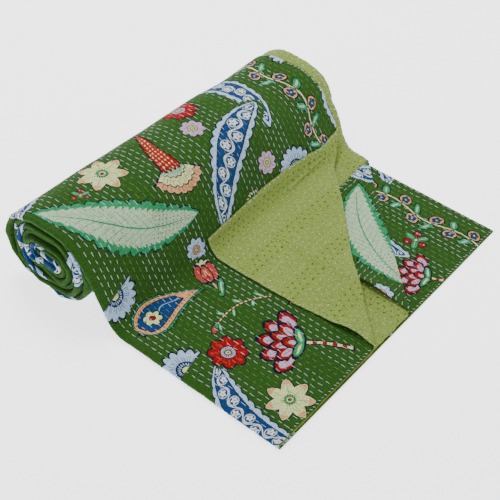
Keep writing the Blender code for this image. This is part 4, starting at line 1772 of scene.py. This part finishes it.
@dataclass(frozen=True)
class Twig(Motif):
    """A curled twig: two rows of small leaves round an open ring."""

    wide: float = 60.0
    low: float = -60.0
    high: float = 60.0

    def draw(self, brush: Brush, x: Field, y: Field) -> None:
        """Paint the leaves where the angle is within 2.35 of the top, the ring closing in with it.

        Args:
            brush: what paints it.
            x: millimetres across, from its origin.
            y: millimetres along.
        """
        _, _, reach, angle = around(x, y, 2)
        ring = reach - angle * 3.2 - 40.0
        limit = (abs(angle) - 2.35) * 40.0
        brush.cover((abs(ring) - 0.8).most(limit), Dye.CREAM)
        for aside, start, colour in ((4.6, 0.0, Dye.CREAM), (-4.6, 0.12, Dye.MINT)):
            along = (angle + start + 12.0 * 0.24).repeat(0.24) * 40.0
            leaflet = oval(ring - aside, along - ring * (0.5 if aside > 0 else -0.5), 4.6, 3.4)
            brush.paint(leaflet.most(limit), colour, 0.8)


@dataclass(frozen=True)
class Lily(Motif):
    """An open flower of seven pointed petals with warm tips and a green heart."""

    wide: float = 62.0
    low: float = -62.0
    high: float = 62.0

    def draw(self, brush: Brush, x: Field, y: Field) -> None:
        """Paint seven leaves of a circle, their tips, veins, and the heart with its lobes.

        Args:
            brush: what paints it.
            x: millimetres across, from its origin.
            y: millimetres along.
        """
        px, py, reach, angle = around(x, y, 7)
        petal = leaf(px, py, 2.0, 58.0, 14.5, 0.75)
        brush.paint(petal, Dye.CREAM, 1.1)
        brush.cover((petal + 1.6).most(px.bumps(6.0) * 5.0 + 39.0 - py), Dye.PEACH)
        brush.cover((abs(px) - 0.6).most(abs(py - 28.0) - 12.0), Dye.MINT)
        brush.paint(reach - angle.bumps(2 * math.pi / 14) * 4.0 - 9.0, Dye.MINT, 0.9)
        brush.cover(reach - angle.bumps(2 * math.pi / 14) * 2.0 - 6.0, Dye.CREAM)
        brush.paint(reach - 3.2, Dye.RED, 0.6)


@dataclass(frozen=True)
class FanFlower(Motif):
    """Half a daisy in pale blue, with streaked petals."""

    wide: float = 62.0
    low: float = -18.0
    high: float = 62.0
    corners: float = 3.0

    def draw(self, brush: Brush, x: Field, y: Field) -> None:
        """Paint the petals of fourteen sectors above the base line, their streaks and the heart.

        Args:
            brush: what paints it.
            x: millimetres across, from its origin.
            y: millimetres along.
        """
        px, py, reach, angle = around(x, y + 4.0, 16)
        limit = (abs(angle) - 1.55) * 40.0
        petal = oval(px, py - 35.0, 8.6, 19.0).most(limit)
        brush.paint(petal, Dye.SKY, 0.9)
        brush.cover((abs(abs(px) - 2.2) - 0.6).most(abs(py - 27.0) - 9.0).most(limit), Dye.BLUE)
        brush.paint((reach - 20.0).most(limit), Dye.BLUE, 0.9)
        tick, _, _, _ = around(x, y + 4.0, 20)
        brush.cover((abs(tick) - 0.7).most(abs(reach - 15.5) - 2.6).most(limit), Dye.WHITE)
        brush.paint((reach - 9.0).most(limit), Dye.CREAM, 0.9)


@dataclass(frozen=True)
class Garland(Motif):
    """A trailing stem with leaves to one side and round flowers to the other, by turns."""

    wide: float = 38.0
    low: float = -401.0
    high: float = 401.0
    corners: float = 200.0

    def draw(self, brush: Brush, x: Field, y: Field) -> None:
        """Paint the stem x = 8 sin(2 pi y / 160), then a leaf and a flower in every 40 mm.

        Args:
            brush: what paints it.
            x: millimetres across, from its origin.
            y: millimetres along.
        """
        x = x - (y * (2 * math.pi / 160.0)).sin() * 8.0
        brush.paint(abs(x) - 1.7, Dye.CREAM, 0.8)
        side = x * (y * (math.pi / 40.0)).sin().math("SIGN")
        beside = y.repeat(40.0)
        foliage = leaf(beside - side * 0.45, side, 2.0, 27.0, 7.5)
        brush.paint(foliage, Dye.MINT, 0.9)
        brush.cover((foliage + 5.0).most(side - 22.0), Dye.SAGE)
        px, py, reach, _ = around(side + 14.0, beside, 5)
        brush.paint(oval(side + 14.0, beside, 11.0, 13.0), Dye.PEACH)
        brush.paint(oval(px, py - 4.4, 2.8, 3.6), Dye.BLUE, 0.6)
        brush.cover(reach - 1.7, Dye.CREAM)


@dataclass(frozen=True)
class Berries(Motif):
    """A sprig of three berries and three leaves."""

    wide: float = 34.0
    low: float = -40.0
    high: float = 40.0

    def draw(self, brush: Brush, x: Field, y: Field) -> None:
        """Paint the stalks, then leaves and berries in alternate sectors of six.

        Args:
            brush: what paints it.
            x: millimetres across, from its origin.
            y: millimetres along.
        """
        px, py, reach, _ = around(x, y, 3)
        brush.paint((abs(px) - 0.9).most(abs(py - 9.0) - 9.0), Dye.CREAM, 0.6)
        brush.paint(oval(px, py - 21.0, 8.5, 9.0), Dye.RED, 1.0)
        brush.cover(oval(px - 2.6, py - 24.0, 2.2, 2.8), Dye.LILAC)
        qx, qy, _, _ = around(x, y, 3, math.pi / 3)
        foliage = leaf(qx, qy, 2.0, 32.0, 8.0)
        brush.paint(foliage, Dye.MINT, 0.9)
        brush.cover((abs(qx) - 0.7).most(abs(qy - 17.0) - 9.0), Dye.CREAM)
        brush.paint(reach - 4.0, Dye.CREAM, 0.8)


@dataclass(frozen=True)
class Spray(Motif):
    """A striped stem with leaves to either side by turns, and a bud."""

    wide: float = 34.0
    low: float = -100.0
    high: float = 104.0
    bend: float = 0.0036
    corners: float = 3.0
    bud: Dye = Dye.CORAL

    @property
    def name(self) -> str:
        """Name of its material, with its bud's colour."""
        return f"printed_spray_{self.bud.name.lower()}"

    def draw(self, brush: Brush, x: Field, y: Field) -> None:
        """Paint a leaf in every 28 mm, the stem with its stripes, and the bud with its cup.

        Args:
            brush: what paints it.
            x: millimetres across, from its origin.
            y: millimetres along.
        """
        x = self.straighten(x, y)
        side = x * (y * (math.pi / 28.0)).sin().math("SIGN")
        beside = y.repeat(28.0)
        foliage = leaf(beside - side * 0.55, side, 1.0, 23.0, 6.0).most(abs(y) - 82.0)
        brush.paint(foliage, Dye.MINT, 0.8)
        brush.cover((foliage + 3.8).most(side - 19.0), Dye.CREAM)
        stem = (abs(x) - 1.8).most(abs(y) - 84.0)
        brush.paint(stem, Dye.CREAM, 0.7)
        brush.cover(stem.most(abs(y.repeat(12.0)) - 2.6), Dye.RED)
        brush.paint(oval(x, y - 88.0, 8.0, 12.0), self.bud)
        brush.paint(oval(x, y - 80.0, 7.0, 5.0), Dye.MINT, 0.8)


@dataclass(frozen=True)
class Placement:
    """One motif in the repeat: where it lies, in metres, and how far it is turned, in degrees."""

    motif: Motif
    across: float
    along: float
    turn: float = 0.0
    size: float = 1.0
    mirror: bool = False


@dataclass
class Print:
    """The printed pattern: a repeat as wide as one ply, and each next one across half dropped.

    A material for each motif goes on the faces of the cloth that the motif covers. A UV map named
    motif gives those faces the motif's own coordinates.
    """

    wide: float = 0.680
    long: float = 0.800

    @staticmethod
    def placements() -> list[Placement]:
        """The motifs of one repeat. Where two meet, the first one goes before.

        Returns:
            The motifs, with their places.
        """
        daisy = Rosette(petals=Dye.SKY, streaks=Dye.BLUE, ring=Dye.PEACH)
        pink = Rosette(petals=Dye.LILAC, streaks=Dye.RED, ring=Dye.CREAM)
        table = (
            (Garland(), 0.060, 0.400),
            (Lotus(), 0.478, 0.108, 35.0, 1.2),
            (Lily(), 0.586, 0.043, 10.0, 0.76),
            (Rosette(), 0.576, 0.186, 0.0, 0.9),
            (BlueLeaf(), 0.662, 0.082, -10.0, 0.84, True),
            (Paisley(), 0.604, 0.336, -70.0, 1.0, True),
            (Tulip(), 0.462, 0.330, -20.0, 0.95),
            (Spray(), 0.482, 0.244, 78.0, 0.74),
            (Plume(), 0.556, 0.508, 55.0, 0.96),
            (BlueLeaf(), 0.288, 0.512, -52.0, 1.05, True),
            (BlueLeaf(), 0.150, 0.640, 10.0, 0.95),
            (Carnation(), 0.408, 0.560, 172.0, 1.02),
            (BlueLeaf(), 0.616, 0.706, -35.0, 0.88),
            (FanFlower(), 0.640, 0.418, 200.0, 0.84),
            (FanFlower(), 0.652, 0.216, 12.0, 0.84),
            (Rosette(), 0.270, 0.650, 0.0, 0.9),
            (Lily(), 0.506, 0.618, 20.0, 0.8),
            (BlueLeaf(), 0.175, 0.215, -18.0, 0.95, True),
            (Lotus(), 0.200, 0.030, 20.0, 0.95),
            (Carnation(), 0.370, 0.200, 175.0, 0.9),
            (Tulip(), 0.285, 0.290, -30.0),
            (Lily(), 0.280, 0.134, 0.0, 0.72),
            (Twig(), 0.272, 0.390, 110.0, 0.74),
            (pink, 0.300, 0.590, 0.0, 0.62),
            (pink, 0.212, 0.452, 0.0, 0.62),
            (Lotus(), 0.500, 0.748, 125.0, 0.86, True),
            (Spray(bud=Dye.PEACH), 0.330, 0.738, -80.0, 0.8),
            (FanFlower(), 0.146, 0.410, 5.0, 0.8),
            (Berries(), 0.414, 0.692, 275.0, 0.75),
            (Berries(), 0.572, 0.604, 195.0, 0.55),
            (Berries(), 0.290, 0.054, 270.0, 0.8),
            (Berries(), 0.128, 0.100, 170.0, 0.8),
            (daisy, 0.446, 0.395, 0.0, 0.6),
            (daisy, 0.362, 0.030, 0.0, 0.8),
        )
        return [Placement(*row) for row in table]

    def locate(self, placement: Placement, s: np.ndarray, v: np.ndarray) -> tuple[np.ndarray, np.ndarray]:
        """Where the copy of a placement lies that is nearest to points of the open quilt.

        Args:
            placement: the placement.
            s: ways across the open quilt.
            v: ways along it.

        Returns:
            The copy's s and v, for each point.
        """
        column = np.floor((s - placement.across) / self.wide + 0.5)
        across = placement.across + column * self.wide
        start = placement.along + np.mod(column, 2) * self.long / 2
        return across, start + np.floor((v - start) / self.long + 0.5) * self.long

    @staticmethod
    def turned(placement: Placement, ds: np.ndarray, dv: np.ndarray) -> tuple[np.ndarray, np.ndarray]:
        """A motif's own x and y, in millimetres, of points that lie ds and dv from its origin.

        Args:
            placement: the motif and its place.
            ds: how far points lie across from its origin.
            dv: how far they lie along.

        Returns:
            x and y.
        """
        angle = math.radians(placement.turn)
        scale = 1.0 / (MM * placement.size)
        x = (ds * math.cos(angle) - dv * math.sin(angle)) * scale
        return (-x if placement.mirror else x), (ds * math.sin(angle) + dv * math.cos(angle)) * scale

    def dress(self, piece: bpy.types.Object, ways: np.ndarray, ground: bpy.types.Material,
              finish: "Cotton") -> None:
        """Give each face of the printed cloth its material, and its corners the motif's coordinates.

        Args:
            piece: the cloth.
            ways: the open quilt's s and v at each face corner.
            ground: material of the faces without a motif.
            finish: finish of the printed cloth.
        """
        mesh = piece.data
        count = len(mesh.polygons)
        first, size = np.zeros(count, np.int32), np.zeros(count, np.int32)
        mesh.polygons.foreach_get("loop_start", first)
        mesh.polygons.foreach_get("loop_total", size)
        middle = np.add.reduceat(ways, first, axis=0) / size[:, None]
        owner = np.repeat(np.arange(count), size)
        chosen = np.zeros(count, np.int32)
        local = np.zeros_like(ways)
        mesh.materials.append(ground)
        slots: dict[str, int] = {}
        for placement in self.placements():
            name = placement.motif.name
            if name not in slots:
                mesh.materials.append(finish.material(name, placement.motif.draw))
                slots[name] = len(mesh.materials) - 1
            s, v = self.locate(placement, middle[:, 0], middle[:, 1])
            x, y = self.turned(placement, middle[:, 0] - s, middle[:, 1] - v)
            mine = placement.motif.covers(x, y) & (chosen == 0)
            chosen[mine] = slots[name]
            corner = mine[owner]
            at = owner[corner]
            local[corner] = np.stack(self.turned(placement, ways[corner, 0] - s[at],
                                                 ways[corner, 1] - v[at]), axis=-1) * MM
        mesh.polygons.foreach_set("material_index", chosen)
        motif = mesh.uv_layers.new(name="motif")
        motif.uv.foreach_set("vector", local.reshape(-1).astype(np.float32))
        LOG.info("%s: %d motifs, %d of %d faces", piece.name, len(slots), int((chosen > 0).sum()), count)


# ---- Finishes ------------------------------------------------------------------------------------
@dataclass(frozen=True)
class Cotton:
    """Finish of a cloth: a soft plain weave, crinkled between its stitches, mottled at random, and painted
    darker in its crinkles' hollows as shade.
    """

    colour: Colour
    thread: float = 0.0011           # from one thread of the weave to the next but one
    weave: float = 0.10              # how strongly the weave shows
    crinkle: float = 1.5
    crinkles: tuple[float, float] = (95.0, 260.0)      # waves for each metre, across and along
    folds: tuple[float, float] = (30.0, 45.0)
    grain: tuple[float, float] = (330.0, 420.0)
    patches: tuple[float, float] = (9.0, 7.0)
    roughness: float = 0.95
    specular: float = 0.08
    sheen: float = 0.06
    sheen_roughness: float = 0.5

    def noise(self, tree: bpy.types.NodeTree, stretch: tuple[float, float], detail: float) -> Field:
        """Noise between 0 and 1 on the open cloth.

        Args:
            tree: the material's node tree.
            stretch: waves for each metre across and along.
            detail: number of finer layers.

        Returns:
            The noise.
        """
        mapping = add_node(tree, "Mapping", Vector=uv_map(tree, "cloth"), Scale=(*stretch, 1.0))
        noise = add_node(tree, "TexNoise", Vector=mapping.outputs[0], Scale=1.0, Detail=detail)
        return Field(tree, noise.outputs["Fac"])

    def relief(self, tree: bpy.types.NodeTree) -> Field:
        """Height of the cloth, in millimetres: the weave, and crinkles that run across the rows.

        Args:
            tree: the material's node tree.

        Returns:
            The height.
        """
        across, along = (way * (2 * math.pi / self.thread) for way in two_parts(tree, uv_map(tree, "cloth")))
        weave = across.sin() * along.sin() * self.weave
        crinkle = self.noise(tree, self.crinkles, 2.0) * self.crinkle
        return weave + crinkle + self.noise(tree, self.folds, 1.0) * 0.9

    def material(self, name: str,
                 draw: Callable[[Brush, Field, Field], None] | None = None) -> bpy.types.Material:
        """A material of this finish.

        Args:
            name: its name.
            draw: paints a motif on it, or None for a plain one.

        Returns:
            The material.
        """
        material, tree, shader = new_finish(
            name, Roughness=self.roughness, Specular_IOR_Level=self.specular, Sheen_Weight=self.sheen,
            Sheen_Roughness=self.sheen_roughness)
        bump = add_node(tree, "Bump", Strength=1.0, Distance=MM, Height=self.relief(tree))
        # painted shade: the crinkles' noise is the same one that raises the relief, so the cloth is darker in
        # their hollows; the grain and patches terms are a random mottle
        shade = self.noise(tree, self.grain, 1.0) * 1.4 + self.noise(tree, self.crinkles, 2.0) * 0.85
        shade = shade + self.noise(tree, self.patches, 1.0) * 0.24 - 0.245
        colour = self.colour
        if draw is not None:
            brush = Brush(tree, self.colour)
            draw(brush, *brush.place())
            colour = brush.colour
        set_inputs(tree, shader, Normal=bump.outputs[0], Base_Color=shaded(tree, colour, shade))
        return material


@dataclass(frozen=True)
class SewingThread:
    """Finish of the sewing thread: matt cotton of several strands, twisted."""

    colour: Colour
    twist: float = 0.0022            # one turn of the strands
    roughness: float = 0.85
    specular: float = 0.2
    sheen: float = 0.3

    def material(self, name: str) -> bpy.types.Material:
        """A material of this finish, with strands that run aslant round the thread.

        Args:
            name: its name.

        Returns:
            The material.
        """
        material, tree, shader = new_finish(
            name, Roughness=self.roughness, Specular_IOR_Level=self.specular, Sheen_Weight=self.sheen)
        along, round_it = two_parts(tree, uv_map(tree, "thread"))
        strands = (along * (2 * math.pi / self.twist) + round_it * 2.0).sin()
        bump = add_node(tree, "Bump", Strength=0.6, Distance=0.2 * MM, Height=strands)
        place = add_node(tree, "TexCoord")
        noise = add_node(tree, "TexNoise", Vector=place.outputs["Object"], Scale=140.0)
        # painted shade: strands * 0.06 darkens the grooves of the twist that the bump sinks; the noise term
        # is a random mottle
        shade = Field(tree, noise.outputs["Fac"]) * 0.5 + strands * 0.06 + 0.72
        set_inputs(tree, shader, Normal=bump.outputs[0], Base_Color=shaded(tree, self.colour, shade))
        return material


# ---- Floor, light and camera ---------------------------------------------------------------------
@dataclass(frozen=True)
class Lamp:
    """A square area light that looks at the middle of the quilt."""

    name: str
    place: tuple[float, float, float]
    size: float
    power: float

    def add(self) -> None:
        """Put the lamp in the scene."""
        data = bpy.data.lights.new(self.name, "AREA")
        data.size = self.size
        data.energy = self.power
        lamp = add_object(self.name, data)
        lamp.location = self.place
        aim = Vector((0.0, 0.0, 0.05)) - Vector(self.place)
        lamp.rotation_euler = aim.to_track_quat("-Z", "Y").to_euler()


@dataclass(frozen=True)
class Studio:
    """A pale floor, soft light from above and the camera at the photograph's angle."""

    floor_size: float = 14.0
    floor_colour: Colour = (0.90, 0.90, 0.90, 1.0)
    floor_glow: float = 2.0          # a lit table, as in a product photograph
    white: Colour = (1.0, 1.0, 1.0, 1.0)
    world_light: float = 0.85
    lamps: tuple[Lamp, ...] = (Lamp("key", (0.5, 1.3, 2.2), 0.9, 50.0),
                               Lamp("fill", (1.9, -0.8, 1.5), 1.6, 14.0))
    camera_place: tuple[float, float, float] = (-1.1529, -0.5142, 1.3626)    # from the strip's origin
    azimuth: float = -53.558
    elevation: float = 44.019
    roll: float = 3.992
    lens: float = 74.51
    sensor: float = 36.0

    def floor(self) -> None:
        """A plain sheet of floor, as stage."""
        half = self.floor_size / 2
        corners = [(half * x, half * y, 0.0) for x, y in ((-1, -1), (1, -1), (1, 1), (-1, 1))]
        mesh = bpy.data.meshes.new("floor")
        mesh.from_pydata(corners, [], [(0, 1, 2, 3)])
        finish = new_finish("floor", Base_Color=self.floor_colour, Roughness=0.9, Specular_IOR_Level=0.1,
                            Emission_Color=self.white, Emission_Strength=self.floor_glow)[0]
        mesh.materials.append(finish)
        add_object("floor", mesh)

    def light(self) -> None:
        """White surroundings and the lamps."""
        world = bpy.data.worlds.new("studio")
        world.use_nodes = True
        set_inputs(world.node_tree, world.node_tree.nodes["Background"], Color=self.white,
                   Strength=self.world_light)
        bpy.context.scene.world = world
        for lamp in self.lamps:
            lamp.add()

    def camera(self, origin: np.ndarray) -> None:
        """The camera, turned by its azimuth, elevation and roll.

        Args:
            origin: where the strip's own origin lies in the frame.
        """
        turn, rise, roll = (math.radians(x) for x in (self.azimuth, self.elevation, self.roll))
        back = Vector((math.sin(turn) * math.cos(rise), -math.cos(turn) * math.cos(rise), math.sin(rise)))
        right = Vector((0.0, 0.0, 1.0)).cross(back).normalized()
        up = back.cross(right)
        right, up = right * math.cos(roll) + up * math.sin(roll), up * math.cos(roll) - right * math.sin(roll)
        data = bpy.data.cameras.new("camera")
        data.lens = self.lens
        data.sensor_width = self.sensor
        camera = add_object("camera", data)
        facing = Matrix((right, up, back)).transposed().to_4x4()
        camera.matrix_world = Matrix.Translation(Vector(self.camera_place) + Vector(origin)) @ facing
        bpy.context.scene.camera = camera


# ---- The quilt -----------------------------------------------------------------------------------
@dataclass
class Quilt:
    """The whole object: a printed cloth and a plain one, and the thread that holds them together."""

    form: QuiltForm
    cut: tuple[float, float] = (2.743, 2.743)      # 108 inches each way
    printed: Cotton = Cotton(Dye.GROUND.value)
    plain: Cotton = Cotton(dye(130, 150, 70))
    white: SewingThread = SewingThread(dye(204, 212, 218))
    olive: SewingThread = SewingThread(dye(106, 142, 58))
    # painted shade: a darker copy of the olive thread for its stitches on the backing, standing for the shade
    # of the dimples round them
    deep: SewingThread = SewingThread(dye(50, 92, 22))

    def register(self, piece: bpy.types.Object, slot: str, *nodes: str) -> None:
        """Let a piece ride with the quilt, and hide the solids that it stands for.

        Args:
            piece: the piece.
            slot: its finish; not used.
            nodes: solids that it stands for.
        """
        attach(piece, ROOT)
        if nodes:
            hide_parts(*nodes)
        LOG.info("%s: %d faces", piece.name, len(piece.data.polygons))

    def face(self) -> bpy.types.Object:
        """The printed cloth.

        Returns:
            The piece.
        """
        piece, ways = Cloth(self.form, "quilt_face", 1.0).build()
        Print().dress(piece, ways, self.printed.material("printed_ground"), self.printed)
        self.register(piece, "printed_cotton", "loose_end_face", "wound_roll")
        return piece

    def backing(self) -> bpy.types.Object:
        """The plain cloth.

        Returns:
            The piece.
        """
        piece, _ = Cloth(self.form, "quilt_backing", -1.0).build()
        piece.data.materials.append(self.plain.material("plain_backing"))
        self.register(piece, "backing_cotton", "loose_end_backing")
        return piece

    def threads(self) -> list[bpy.types.Object]:
        """The sewing thread, one piece for each colour: on the backing the olive thread is painted darker and
        made wider, as the shade of the dimples round its stitches.

        Returns:
            The pieces.
        """
        sewing = Thread(self.form)
        stitches = Stitches.joined([sewing.visible(), sewing.hems()])
        made = []
        for name, finish, chosen in (("white_thread", self.white, stitches.white),
                                     ("olive_thread", self.olive, ~stitches.white & (stitches.side > 0)),
                                     # painted shade: the olive stitches on the backing, darker and wider for
                                     # the shade of their dimples
                                     ("olive_thread_shaded", self.deep, ~stitches.white & (stitches.side < 0))):
            piece = sewing.build(name, stitches.pick(chosen))
            piece.data.materials.append(finish.material(name))
            self.register(piece, "backing_cotton")
            made.append(piece)
        return made

    def build(self) -> None:
        face, backing, threads = self.face(), self.backing(), self.threads()


def main() -> None:
    """Build the quilt, its floor, lights and camera."""
    logging.basicConfig(level=logging.INFO, format="%(name)s: %(message)s")
    form = QuiltForm()
    Quilt(form).build()
    studio = Studio()
    studio.floor()
    studio.light()
    studio.camera(form.shift)


if __name__ == "__main__":
    main()
